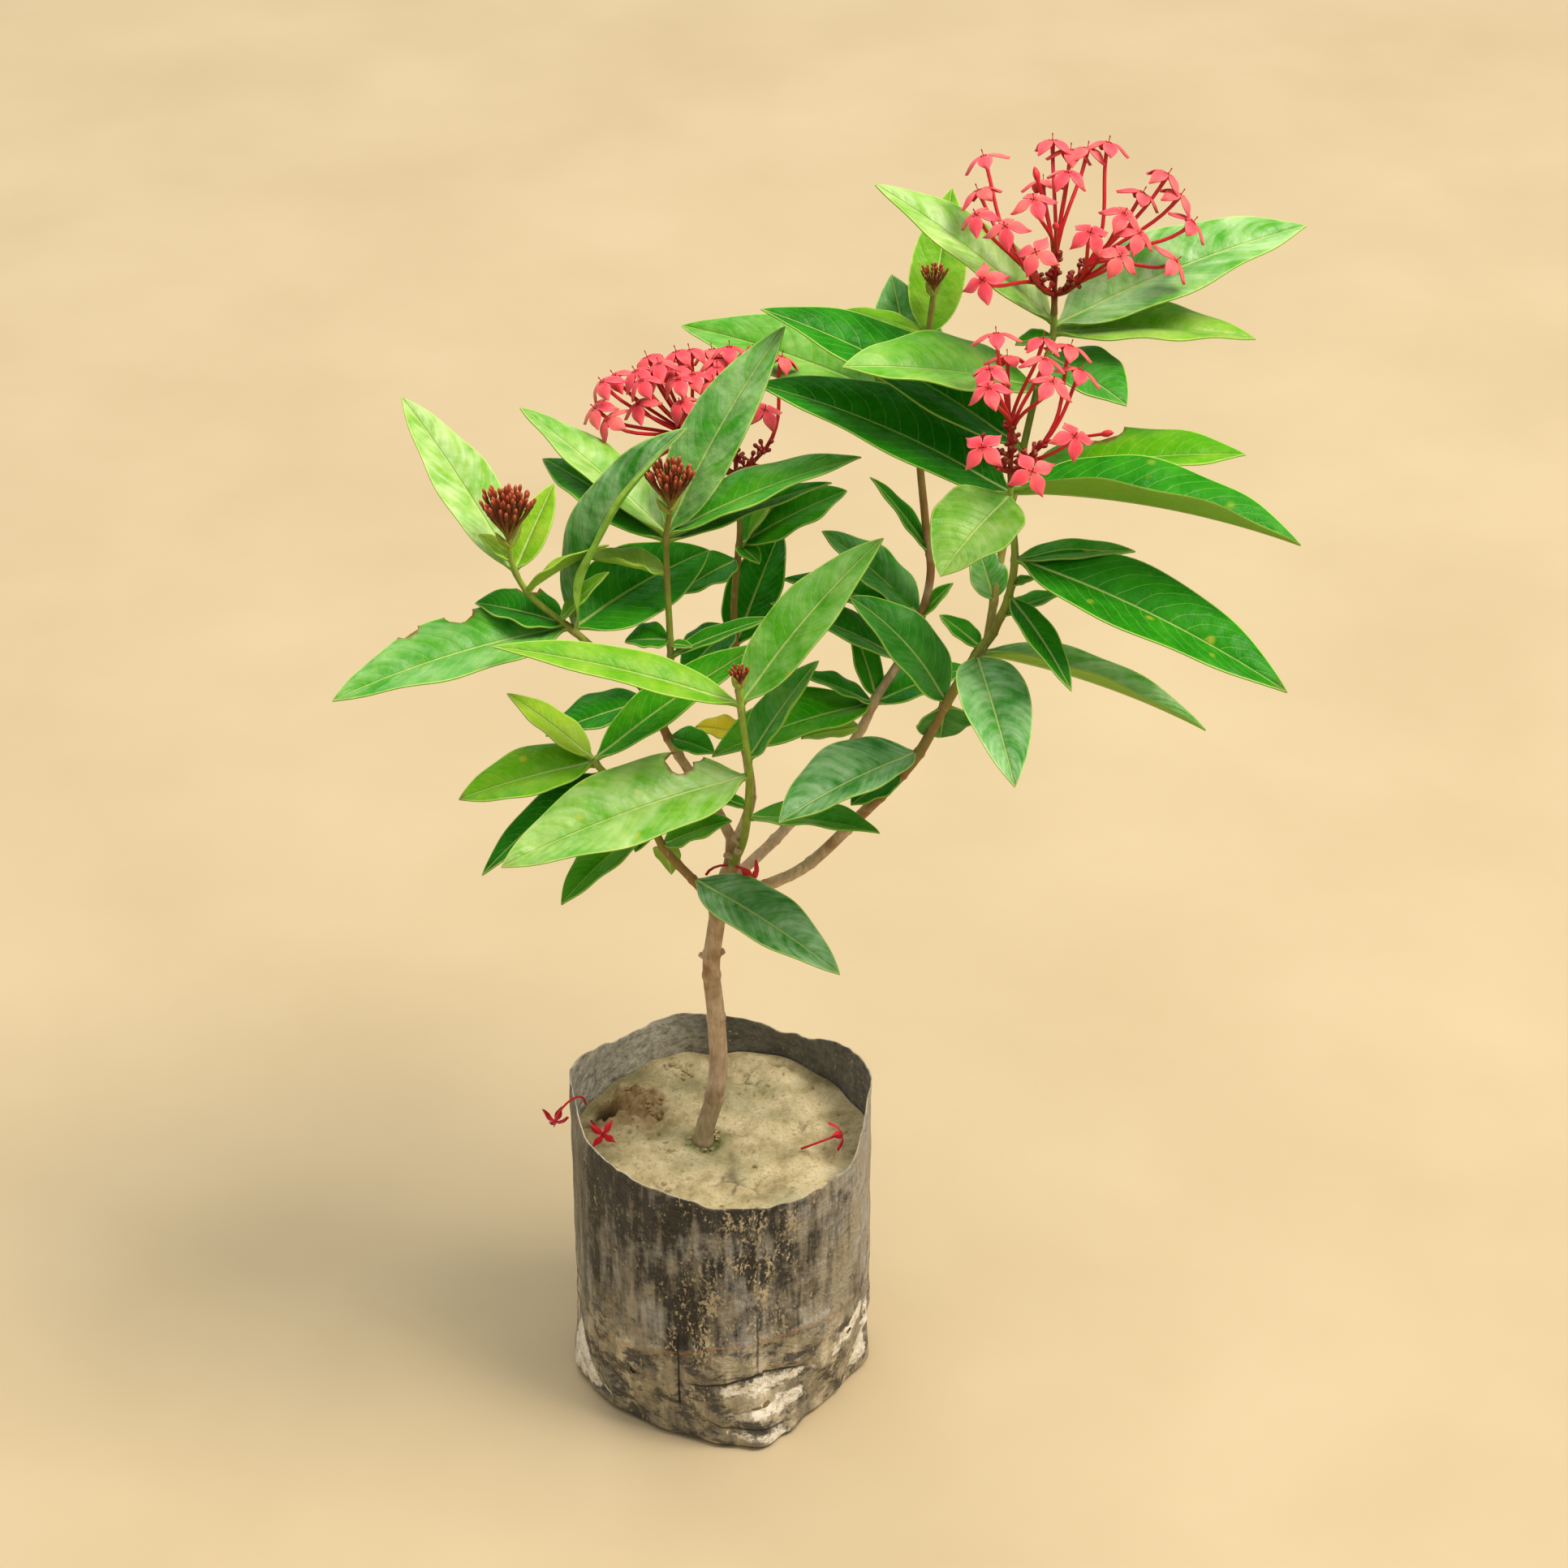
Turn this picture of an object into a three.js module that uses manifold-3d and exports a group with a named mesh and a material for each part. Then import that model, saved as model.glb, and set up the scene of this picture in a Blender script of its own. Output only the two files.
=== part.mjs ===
// An ixora in a black nursery grow bag: nine leafy shoots on a low woody trunk, three open
// heads of four-petalled florets and four heads of buds. Millimetres, +Z up. The origin is the
// middle of the bag's flat underside, +X is the plant's right and +Y its back.
import * as THREE from 'three';
import { mergeVertices } from 'three/addons/utils/BufferGeometryUtils.js';
import Module from 'manifold-3d';

const wasm = await Module();
wasm.setup();

// ---------------------------------------------------------------- driving sizes
const GAP = 0.3;                 // clearance kept between neighbouring pieces
const OVERCUT = 12;              // a cutter reaches this far past what it cuts
const UP = new THREE.Vector3(0, 0, 1);
const BAG_RADIUS = 77.5;         // the filled bag's wall
const BAG_WALL = 1.0;            // film, doubled where it is folded
const BAG_FLOOR = 3;             // film, folded over several times
const BAG_SIDES = 32;
const BAG_LEVELS = [BAG_FLOOR, 18, 46, 95, 140];  // heights of the wall's rings of vertices
const BASE_HEIGHT = 46;          // the folded base blends into the round wall up to here
const BASE_TUCK = 4;             // the bottom edge is rounded in by this much
const SOIL_LEVEL = 143;
const SOIL_RINGS = 4;
const TRUNK_FOOT = 112;          // the trunk stands this high in its hole in the soil
const BLADE = 0.7;               // leaf thickness
const PETAL = 0.7;
const PETAL_REACH = 11;          // floret centre to petal tip
const PETAL_NOTCH = 4.2;         // floret centre to the notch between two petals
const PETAL_BEND = 0.028;        // the petals' droop, over the square of the distance
const TUBE_RADIUS = 0.75;
const TUBE_LENGTH = 22;          // of a dropped floret, whose face looks up by FALLEN_RISE
const FALLEN_RISE = 18;
const TUBE_SIDES = 8;            // corners round a floret, at its petal tips and notches
const PEDUNCLE_RADIUS = 1.5;     // the stalk of a whole bloom
const ARM_SIZE = [1.1, 0.9];      // radii of a bloom's side arm at its foot and tip
const BUD_STALK = [1.4, 1.3];    // radii of the stalk under a head of buds
const BUD_SIZE = [0.6, 1.0];     // radii of one bud's stalk at its foot and of the bud's tip
const SLIVER = 0.05;             // edges shorter than this are dropped after a join
const STEM_STEP = 20;            // length of stem between two rings of vertices

// Height of the bag's torn rim and reach of its folded base, as [degrees, millimetres].
const RIM = [[0, 177], [19, 177], [67, 160], [90, 167], [108, 169], [132, 167], [165, 179],
  [190, 180], [228, 171], [253, 166], [276, 162], [290, 158], [326, 160], [342, 169]];
const BASE = [[8, 76], [40, 74], [75, 73], [105, 80], [130, 74], [165, 74], [190, 81],
  [205, 77], [235, 73], [258, 74], [274, 79], [286, 84], [296, 78], [311, 71], [335, 71], [352, 79]];

// Punched drain holes in the bag's wall, as [degrees, height].
const DRAINS = [[233, 40], [329, 48], [60, 42], [140, 40]];
const DRAIN_RADIUS = 3.5;
// Snapped twigs on the wood: [stem, place along it, heading, rise, length, radius].
const SNAGS = [['trunk', 0.66, 180, 35, 10, 1.7], ['trunk', 0.67, 5, 30, 10, 1.9],
  ['trunk', 0.9, 60, 60, 12, 1.9], ['right', 0.2, -60, 50, 9, 1.4],
  ['middle', 0.12, 150, 70, 9, 1.4]];

// Stems: where they run and how thick they are at foot and tip.
const STEMS = {
  trunk: { radii: [5.2, 4.0],
    points: [[-9, 1, 112], [-9, 1, 146], [-3, 0, 173], [-1, 0, 193], [-2, 0, 226],
      [-4, 0, 256], [-2, 0, 276], [2, 0, 302], [7, 0, 321], [8, 2, 335]] },
  low_left: { radii: [2.5, 1.6],
    points: [[-2, -1, 296], [-11, -6, 312], [-26, -14, 338], [-32, -18, 355],
      [-46, -24, 378], [-59, -28, 400]] },
  left: { radii: [2.8, 1.3],
    points: [[8, 2, 330], [-2, 4, 352], [-14, 6, 371], [-23, 8, 387], [-36, 8, 418],
      [-50, 6, 432], [-66, 2, 452], [-88, -4, 478], [-95, -6, 495], [-96, -7, 506]] },
  centre: { radii: [1.9, 1.3],
    points: [[-26, 8, 394], [-23, 10, 413], [-22, 10, 434], [-23, 10, 478], [-23, 10, 501],
      [-21, 4, 518]] },
  back: { radii: [2.6, 1.4],
    points: [[7, 4, 326], [16, 20, 342], [14, 40, 358], [10, 58, 389], [8, 68, 426],
      [11, 76, 467], [10, 79, 483]] },
  front: { radii: [2.4, 1.4],
    points: [[6, -1, 318], [12, -10, 338], [15, -20, 364], [16, -30, 395], [13, -38, 430],
      [12, -41, 449]] },
  middle: { radii: [2.9, 1.5],
    points: [[3, 2, 306], [17, 10, 314], [35, 24, 326], [55, 38, 345], [72, 50, 368],
      [78, 54, 381], [91, 60, 402], [100, 65, 422], [105, 70, 445], [102, 76, 472],
      [98, 84, 519], [101, 88, 556], [104, 90, 588]] },
  right: { radii: [3.1, 2.4],
    points: [[0, -1, 294], [22, -4, 308], [42, -9, 323], [71, -18, 362], [96, -26, 400],
      [109, -30, 432], [123, -33, 462], [131, -34, 476]] },
  right_front: { radii: [2.1, 1.5],
    points: [[131, -34, 476], [137, -38, 498], [139, -40, 519], [137, -41, 542],
      [136, -41, 558]] },
  right_back: { radii: [2.1, 1.5],
    points: [[128, -33, 470], [131, -22, 484], [135, -6, 502], [142, 12, 532],
      [150, 26, 567], [158, 34, 597], [158, 35, 606]] },
};
// The first stretch of each branch is wood and grows in one piece with the trunk.
const WOOD = { trunk: 1, low_left: 0.11, left: 0.26, back: 0.26, front: 0.22, middle: 0.27,
  right: 0.27 };
// A fork: the first stretch of these shoots grows in one piece with the shoot named.
const FORKS = [['left', 'centre', 0.13], ['right', 'right_back', 0.09],
  ['right', 'right_front', 0.07]];

// Leaves: [place along the stem, heading, rise, length, width, droop, roll, bites, keel].
// Headings turn from +X towards +Y. Droop is how far the blade bends down from its foot to its
// tip, a positive roll turns its right side down, and a bite is [place along the blade,
// place across it from -1 at the left edge to 1 at the right edge, radius].
const LEAVES = {
  low_left: [
    [0.18, -36, -12, 92, 34, 20, 10], [0.42, 85, -50, 50, 14, 18, 0],
    [0.43, 3, 22, 37, 26, 18, 0], [0.56, -125, -30, 16, 10, 18, 0],
    [0.57, -146, -28, 59, 32, 18, 10], [0.92, -164, -38, 79, 22, 18, -10],
    [0.97, 157, -32, 45, 18, 15, 0], [0.98, -171, -12, 68, 34, 15, -10],
    [0.99, 19, 30, 99, 28, 15, 10], [1.0, 150, 25, 53, 20, 12, 0]],
  left: [
    [0.32, -17, -10, 24, 22, 12, 0], [0.4, -7, 25, 30, 18, 10, 0],
    [0.43, -165, -12, 54, 30, 15, 0], [0.71, 44, 5, 90, 44, 15, 22],
    [0.72, -158, -6, 120, 44, 20, -10, [[0.4, 1, 7], [0.62, 1, 6]]],
    [0.7, 4, 64, 126, 34, 50, 25, [], 20], [0.73, 173, 12, 45, 34, 12, 0, [[0.5, 1, 6]]],
    [0.75, 13, 45, 34, 15, 12, 0], [0.87, 6, 30, 46, 22, 18, -30],
    [0.92, 126, 28, 111, 32, 12, 0], [0.96, 161, 35, 20, 12, 12, 0],
    [0.93, 60, 40, 47, 18, 8, 10]],
  centre: [
    [0.325, 11, 18, 53, 14, 15, 0], [0.375, -10, 0, 11, 8, 18, 0],
    [0.395, -178, 0, 22, 24, 18, 0], [0.695, 166, 4, 42, 22, 12, 0],
    [0.835, 15, 14, 84, 22, 15, 0], [0.835, 136, 8, 86, 38, 15, 0],
    [0.865, 6, 22, 100, 34, 18, 0], [0.855, 32, 55, 115, 34, 15, 20],
    [0.865, 134, 15, 108, 34, 15, 12]],
  back: [
    [0.32, 167, 5, 26, 20, 26, 0], [0.57, 63, 40, 66, 30, 15, 0],
    [0.63, -139, -25, 37, 28, 18, 0], [0.82, -148, -14, 36, 30, 18, 0],
    [0.84, 32, 42, 58, 28, 15, -30], [0.86, -49, -10, 16, 12, 18, 0],
    [0.86, 23, 18, 61, 40, 15, 0]],
  front: [
    [0.33, -18, 5, 68, 32, 18, -10], [0.39, 156, 5, 23, 10, 12, 0],
    [0.57, -157, -8, 129, 50, 18, -15, [[0.2, 0.8, 8]]], [0.65, 32, 48, 59, 26, 12, 0],
    [0.92, 30, 42, 104, 33, 18, 15], [0.92, -180, 16, 121, 26, 15, -10]],
  middle: [
    [0.31, -178, -10, 31, 18, 15, 0], [0.35, -172, 30, 43, 20, 12, 0],
    [0.35, -147, 2, 95, 38, 15, 0], [0.35, 22, 10, 54, 30, 15, 0], [0.36, 127, 60, 40, 16, 10, 0],
    [0.43, 178, 26, 72, 30, 15, 0], [0.5, 18, 45, 24, 12, 12, 0], [0.5, 156, 35, 65, 32, 15, 0],
    [0.5, 163, 8, 72, 32, 15, 0], [0.5, 170, 35, 28, 14, 12, 0], [0.6, 160, 50, 49, 14, 12, 0],
    [0.8, 108, 55, 74, 40, 12, -10], [0.82, 147, 3, 140, 46, 18, -14],
    [0.935, -175, 22, 44, 16, 12, 0], [0.93, 76, 49, 76, 28, 12, 10]],
  right: [
    [0.58, -157, -22, 29, 24, 15, 0], [0.65, -150, -10, 79, 44, 18, 0, [], 20],
    [0.79, 100, -70, 26, 28, 10, 180], [0.79, 158, 45, 71, 34, 40, -10],
    [0.93, -79, -15, 83, 36, 20, 0, [], 25], [0.94, -22, -8, 114, 28, 20, -12, [], 38],
    [0.95, 143, 22, 26, 14, 12, 0]],
  right_front: [
    [0.12, 7, 20, 31, 14, 15, 0], [0.27, -61, -20, 60, 16, 18, 0], [0.35, -1, 20, 11, 8, 15, 0],
    [0.52, 2, 4, 56, 18, 15, 0], [0.53, -29, -12, 142, 46, 20, 8],
    [0.79, -145, -20, 21, 12, 15, 0], [0.94, -132, -22, 54, 44, 20, -5],
    [0.97, -12, -5, 134, 50, 20, -12, [], 36]],
  right_back: [
    [0.12, 117, 50, 29, 20, 10, 0], [0.44, 167, 20, 133, 54, 20, -5],
    [0.49, -1, 8, 108, 44, 18, 0, [[0.39, -1, 11], [0.82, -0.9, 4]]],
    [0.58, 166, 25, 140, 50, 20, -5], [0.77, -164, 15, 99, 50, 18, -5],
    [0.87, -45, -8, 50, 38, 18, 0], [0.93, -174, -10, 18, 14, 18, 0],
    [0.94, 1, -2, 95, 40, 18, 0], [0.96, 18, 15, 130, 50, 18, 10],
    [0.97, 155, 30, 106, 40, 15, 0]],
};

// Blooms: the shoot that carries them, the height of the hub over its tip, and the florets as
// [heading, rise, reach from the hub].
const BLOOMS = {
  right_back: { hub: 10,
    florets: [[139, 52, 71], [93, 65, 70], [76, 65, 66], [62, 63, 68], [49, 60, 73],
      [63, 80, 58], [95, 37, 58], [148, 45, 59], [230, 71, 58], [191, 49, 58], [21, 43, 75],
      [23, 45, 61], [15, 36, 73], [333, 56, 58], [330, 45, 58], [8, 27, 71], [292, 54, 58],
      [253, 45, 58], [306, 40, 58], [354, 20, 58], [227, 27, 58], [224, 53, 58]] },
  right_front: { hub: 8,
    florets: [[103, 61, 62], [62, 60, 61], [43, 54, 62], [192, 78, 54], [37, 71, 54],
      [32, 48, 55], [232, 69, 54], [330, 69, 54], [91, 44, 54], [249, 39, 54],
      [278, 29, 54], [309, 41, 54]] },
  back: { hub: 12,
    florets: [[182, 39, 82], [174, 48, 72], [165, 50, 65], [157, 58, 60], [178, 62, 58],
      [131, 58, 64], [167, 68, 56], [106, 60, 58], [114, 68, 57], [148, 69, 42],
      [122, 69, 44], [73, 62, 60], [45, 59, 61], [187, 31, 79], [193, 31, 73],
      [185, 41, 62], [319, 66, 46], [196, 9, 66], [183, 58, 40]] },
};
const CORYMB_ARMS = 5;           // side arms of a bloom, round a middle one
const ARM_REACH = 20;
const ARM_RISE = 38;
const GOLDEN_ANGLE = 137.5;      // turn from one bud to the next
const BUD_SPREAD = 52;           // the outermost buds lean this far from upright

// Heads of buds: the shoot that carries them, number of buds, stalk and reach from the hub.
const BUD_HEADS = {
  left: { count: 20, hub: 8, reach: 26 },
  centre: { count: 17, hub: 7, reach: 24 },
  front: { count: 8, hub: 4, reach: 10 },
  middle: { count: 11, hub: 4, reach: 14 },
};

// ---------------------------------------------------------------- colours
const FILM = new THREE.MeshStandardMaterial({ color: '#23211f', roughness: 0.55 });
const MUD = new THREE.MeshStandardMaterial({ color: '#8f8376', roughness: 0.95 });
const BARK = new THREE.MeshStandardMaterial({ color: '#75685a', roughness: 0.9 });
const LEAF = new THREE.MeshStandardMaterial({ color: '#2c6b1c', roughness: 0.35 });
const CORAL = new THREE.MeshStandardMaterial({ color: '#ea4b58', roughness: 0.6 });
const BUD = new THREE.MeshStandardMaterial({ color: '#8a3a28', roughness: 0.6 });

// ---------------------------------------------------------------- small helpers
const radians = (degrees) => degrees * Math.PI / 180;
const lerp = THREE.MathUtils.lerp;
const smooth = THREE.MathUtils.smoothstep;

function direction(heading, rise) {
  const flat = Math.cos(radians(rise));
  return new THREE.Vector3(Math.cos(radians(heading)) * flat,
    Math.sin(radians(heading)) * flat, Math.sin(radians(rise)));
}

// A value read from a table of [degrees, value] that runs once round the bag.
function around(table, degrees) {
  const turn = ((degrees % 360) + 360) % 360;
  let next = table.findIndex(([at]) => at > turn);
  if (next < 0) next = 0;
  const last = (next + table.length - 1) % table.length;
  const span = (table[next][0] - table[last][0] + 360) % 360;
  const gone = (turn - table[last][0] + 360) % 360;
  return lerp(table[last][1], table[next][1], smooth(gone / span, 0, 1));
}

function toSolid(geometry) {
  geometry.deleteAttribute('normal');
  geometry.deleteAttribute('uv');
  const merged = mergeVertices(geometry, 1e-5);
  return new wasm.Manifold(new wasm.Mesh({
    numProp: 3,
    vertProperties: new Float32Array(merged.attributes.position.array),
    triVerts: new Uint32Array(merged.index.array),
  }));
}

function toMesh(name, solid, material) {
  const { vertProperties, triVerts } = solid.getMesh();
  const geometry = new THREE.BufferGeometry();
  geometry.setAttribute('position', new THREE.BufferAttribute(vertProperties, 3));
  geometry.setIndex(new THREE.BufferAttribute(triVerts, 1));
  geometry.computeVertexNormals();
  const mesh = new THREE.Mesh(geometry, material);
  mesh.name = name;
  return mesh;
}

// Joins solids and drops the slivers that the joints leave.
function fuse(solids) {
  return solids.reduce((whole, solid) => whole.add(solid)).asOriginal().simplify(SLIVER);
}

// A closed skin over rings of points that run counter-clockwise about the direction of travel.
// The quads listed in flipped are split along their other diagonal.
function loft(rings, flipped = [], ends = []) {
  const count = rings[0].length;
  const middle = (ring) => ring.reduce((sum, p) => sum.clone().add(p), new THREE.Vector3())
    .divideScalar(count);
  const points = [...rings.flat(), ends[0] ?? middle(rings[0]),
    ends[1] ?? middle(rings[rings.length - 1])];
  const foot = count * rings.length;
  const index = [];
  for (let i = 0; i < count; i += 1) {
    const j = (i + 1) % count;
    for (let ring = 0; ring + 1 < rings.length; ring += 1) {
      const [a, b, c, d] = [ring * count + i, ring * count + j, (ring + 1) * count + i,
        (ring + 1) * count + j];
      if (flipped.includes(i)) index.push(a, b, c, b, d, c);
      else index.push(a, b, d, a, d, c);
    }
    index.push(foot, j, i, foot + 1, foot - count + i, foot - count + j);
  }
  const geometry = new THREE.BufferGeometry().setFromPoints(points);
  geometry.setIndex(index);
  return toSolid(geometry);
}

function ringAbout(centre, tangent, radius, sides) {
  const guide = Math.abs(tangent.y) > 0.9 ? UP : new THREE.Vector3(0, 1, 0);
  const side = new THREE.Vector3().crossVectors(guide, tangent).normalize();
  const rise = new THREE.Vector3().crossVectors(tangent, side);
  return Array.from({ length: sides }, (_, k) => {
    const angle = 2 * Math.PI * k / sides;
    return centre.clone().addScaledVector(side, radius * Math.cos(angle))
      .addScaledVector(rise, radius * Math.sin(angle));
  });
}

// A straight tapering stalk through the given points, with a radius at each.
function stalk(points, radii, sides = 3) {
  const tangent = points[points.length - 1].clone().sub(points[0]).normalize();
  return loft(points.map((point, k) => ringAbout(point, tangent, radii[k], sides)));
}

// ---------------------------------------------------------------- stems and leaves
const curves = Object.fromEntries(Object.entries(STEMS).map(([name, { points }]) => [
  name, new THREE.CatmullRomCurve3(points.map((p) => new THREE.Vector3(...p)))]));

function limb(name, from, to, sides = 6) {
  const curve = curves[name];
  const [thick, thin] = STEMS[name].radii;
  const steps = Math.max(1, Math.ceil(curve.getLength() * (to - from) / STEM_STEP));
  const rings = [];
  for (let k = 0; k <= steps; k += 1) {
    const u = lerp(from, to, k / steps);
    rings.push(ringAbout(curve.getPointAt(u), curve.getTangentAt(u), lerp(thick, thin, u),
      sides));
  }
  return loft(rings);
}

// Stations down a blade, and the share of its half width at each.
const STATIONS = [0, 0.1, 0.3, 0.5, 0.75, 1];
const OUTLINE = [0.1, 0.5, 0.96, 1, 0.68, 0.04];
const KEEL = 14;                 // most blades: each half lies this many degrees above flat

function leaf(stem, [at, heading, rise, length, width, droop, roll, bites = [], keel = KEEL]) {
  const swing = 4 * Math.sin(radians(7 * heading));
  const steps = 20;
  const spot = curves[stem].getPointAt(at);
  const frames = [];
  for (let k = 0; k <= steps; k += 1) {
    const s = k / steps;
    const way = direction(heading + swing * (s - 0.5), rise + droop * (0.5 - s));
    if (k > 0) spot.addScaledVector(way, length / steps);
    frames.push([spot.clone(), way]);
  }
  const frameAt = (s) => {
    const [point, way] = frames[Math.round(s * steps)];
    const side = new THREE.Vector3().crossVectors(way, UP).normalize();
    const face = new THREE.Vector3().crossVectors(side, way);
    const turn = new THREE.Quaternion().setFromAxisAngle(way, radians(roll));
    return [point, side.applyQuaternion(turn), face.applyQuaternion(turn)];
  };
  const rings = STATIONS.map((s, k) => {
    const [point, side, face] = frameAt(s);
    const half = OUTLINE[k] * width / 2;
    const thick = s < 0.05 ? 2 * BLADE : BLADE;
    const across = [-1, 0, 1].map((e) => point.clone()
      .addScaledVector(side, e * half * Math.cos(radians(keel)))
      .addScaledVector(face, Math.abs(e) * half * Math.sin(radians(keel)) + thick / 2));
    const under = across.map((p) => p.clone().addScaledVector(face, -thick));
    return [...across, ...under.reverse()];
  });
  let blade = loft(rings, [3, 4]);
  for (const [s, e, radius] of bites) {
    const [point, side, face] = frameAt(s);
    const centre = point.clone().addScaledVector(side, e * width / 2);
    const ends = [-width / 2, width / 2].map((d) => centre.clone().addScaledVector(face, d));
    blade = blade.subtract(stalk(ends, [radius, radius], 8));
  }
  return blade;
}

function shoot(name) {
  const fork = FORKS.find(([, child]) => child === name);
  const from = (fork ? fork[2] : WOOD[name]) + GAP / curves[name].getLength();
  const parts = [limb(name, from, 1)];
  for (const [parent, child, share] of FORKS) {
    if (parent === name) parts.push(limb(child, 0, share));
  }
  for (const row of LEAVES[name]) parts.push(leaf(name, row));
  return toMesh(`shoot_${name}`, fuse(parts), LEAF);
}

// ---------------------------------------------------------------- florets and buds
// A floret: a slim tube from its foot that opens into four pointed petals about an axis,
// bent back a little. It is one skin of rings with eight corners, at the tips and notches.
function floret(foot, mouth, axis, spin) {
  const helper = Math.abs(axis.z) > 0.9 ? new THREE.Vector3(1, 0, 0) : UP;
  const side = new THREE.Vector3().crossVectors(helper, axis).normalize();
  const rise = new THREE.Vector3().crossVectors(axis, side);
  const ring = (centre, reaches, lift, bend) => Array.from({ length: TUBE_SIDES }, (_, k) => {
    const angle = radians(360 * k / TUBE_SIDES + spin);
    const far = reaches[k % 2];
    return centre.clone().addScaledVector(side, far * Math.cos(angle))
      .addScaledVector(rise, far * Math.sin(angle))
      .addScaledVector(axis, lift - bend * far * far);
  });
  const petals = [PETAL_REACH, PETAL_NOTCH];
  return loft([ring(foot, [TUBE_RADIUS, TUBE_RADIUS], 0, 0),
    ring(mouth, [TUBE_RADIUS, TUBE_RADIUS], -2, 0), ring(mouth, petals, 0, PETAL_BEND),
    ring(mouth, petals, PETAL, PETAL_BEND)], [], [foot,
    mouth.clone().addScaledVector(axis, PETAL)]);
}

function bloom(name, { hub: lift, florets }) {
  const foot = curves[name].getPointAt(1);
  const heading = curves[name].getTangentAt(1);
  const hub = foot.clone().addScaledVector(heading, lift);
  const arms = [hub.clone().addScaledVector(UP, ARM_REACH)];
  for (let k = 0; k < CORYMB_ARMS; k += 1) {
    const way = direction(360 * k / CORYMB_ARMS + 18, ARM_RISE);
    arms.push(hub.clone().addScaledVector(way, ARM_REACH));
  }
  const start = foot.clone().addScaledVector(heading, GAP);
  const top = hub.clone().addScaledVector(heading, 1);
  const parts = [stalk([start, top], [PEDUNCLE_RADIUS, PEDUNCLE_RADIUS], 6)];
  for (const arm of arms) parts.push(stalk([hub, arm], ARM_SIZE));
  florets.forEach(([turn, rise, reach], k) => {
    const way = direction(turn, rise);
    const mouth = hub.clone().addScaledVector(way, reach);
    const near = arms.reduce((a, b) => (a.distanceTo(mouth) < b.distanceTo(mouth) ? a : b));
    const axis = way.clone().multiplyScalar(0.65).addScaledVector(UP, 0.35).normalize();
    parts.push(floret(near, mouth, axis, 47 * k));
  });
  return toMesh(`bloom_${name}`, fuse(parts), CORAL);
}

function budHead(name, { count, hub: lift, reach }) {
  const foot = curves[name].getPointAt(1);
  const heading = curves[name].getTangentAt(1);
  const hub = foot.clone().addScaledVector(heading, lift);
  const start = foot.clone().addScaledVector(heading, GAP);
  const core = Math.min(reach * 0.3, lift * 0.85);
  const heart = new THREE.IcosahedronGeometry(core).translate(...hub);
  const parts = [stalk([start, hub], BUD_STALK, 5), toSolid(heart)];
  for (let k = 0; k < count; k += 1) {
    const outward = Math.sqrt((k + 0.5) / count);
    const way = direction(GOLDEN_ANGLE * k, 90 - BUD_SPREAD * outward);
    const spots = [core * 0.5, reach * (1 - 0.35 * outward)]
      .map((d) => hub.clone().addScaledVector(way, d));
    parts.push(stalk(spots, BUD_SIZE));
  }
  return toMesh(`buds_${name}`, fuse(parts), BUD);
}

// ---------------------------------------------------------------- bag and soil
function bagRadius(degrees, z) {
  const blend = smooth(z, 0, BASE_HEIGHT);
  const folds = 0.9 * Math.sin(radians(7 * degrees)) + 0.6 * Math.sin(radians(11 * degrees));
  const tuck = z < BAG_FLOOR ? BASE_TUCK * (1 - z / BAG_FLOOR) : 0;
  return lerp(around(BASE, degrees), BAG_RADIUS, blend) + folds * (0.4 + 0.6 * blend) - tuck;
}

function bagRing(height, inset) {
  return Array.from({ length: BAG_SIDES }, (_, k) => {
    const degrees = 360 * k / BAG_SIDES;
    const z = height(degrees);
    const radius = bagRadius(degrees, z) - inset;
    return new THREE.Vector3(radius * Math.cos(radians(degrees)),
      radius * Math.sin(radians(degrees)), z);
  });
}

// The bag's full form up to its torn rim, less the room inside it.
function growBag() {
  const rim = (degrees) => around(RIM, degrees);
  const outside = [0, ...BAG_LEVELS].map((z) => bagRing(() => z, 0));
  const inside = BAG_LEVELS.map((z) => bagRing(() => z, BAG_WALL));
  const room = loft([...inside, bagRing((degrees) => rim(degrees) + OVERCUT, BAG_WALL)]);
  const bag = loft([...outside, bagRing(rim, 0)]).subtract(room);
  return DRAINS.reduce((rest, [degrees, z]) => {
    const way = direction(degrees, 0);
    const ends = [BAG_RADIUS - OVERCUT, BAG_RADIUS + OVERCUT].map((far) => new THREE.Vector3(0, 0, z)
      .addScaledVector(way, far));
    return rest.subtract(stalk(ends, [DRAIN_RADIUS, DRAIN_RADIUS], 8));
  }, bag);
}

// Height of the dried, cracked soil over its mean level.
function clods(x, y) {
  return 1.6 * Math.sin(x / 9 + 1.3 * Math.sin(y / 14)) * Math.cos(y / 11 + 0.6)
    + 0.9 * Math.sin(x / 4.3 + y / 6.1);
}

function soil() {
  const inset = BAG_WALL + GAP;
  const levels = [BAG_FLOOR + GAP, ...BAG_LEVELS.slice(1, -1)];
  const rings = levels.map((z) => bagRing(() => z, inset));
  const top = bagRing(() => SOIL_LEVEL - 3, inset);
  for (let ring = SOIL_RINGS; ring > 0; ring -= 1) {
    rings.push(top.map((p) => {
      const x = p.x * ring / SOIL_RINGS;
      const y = p.y * ring / SOIL_RINGS;
      return new THREE.Vector3(x, y, SOIL_LEVEL + clods(x, y));
    }));
  }
  const [x, y] = STEMS.trunk.points[0];
  const radius = STEMS.trunk.radii[0] + 2 * GAP;
  const depth = 2 * (SOIL_LEVEL - TRUNK_FOOT);
  const hole = new THREE.CylinderGeometry(radius, radius, depth, 16).rotateX(Math.PI / 2)
    .translate(x, y, TRUNK_FOOT - GAP + depth / 2);
  return loft(rings).subtract(toSolid(hole));
}

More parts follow.
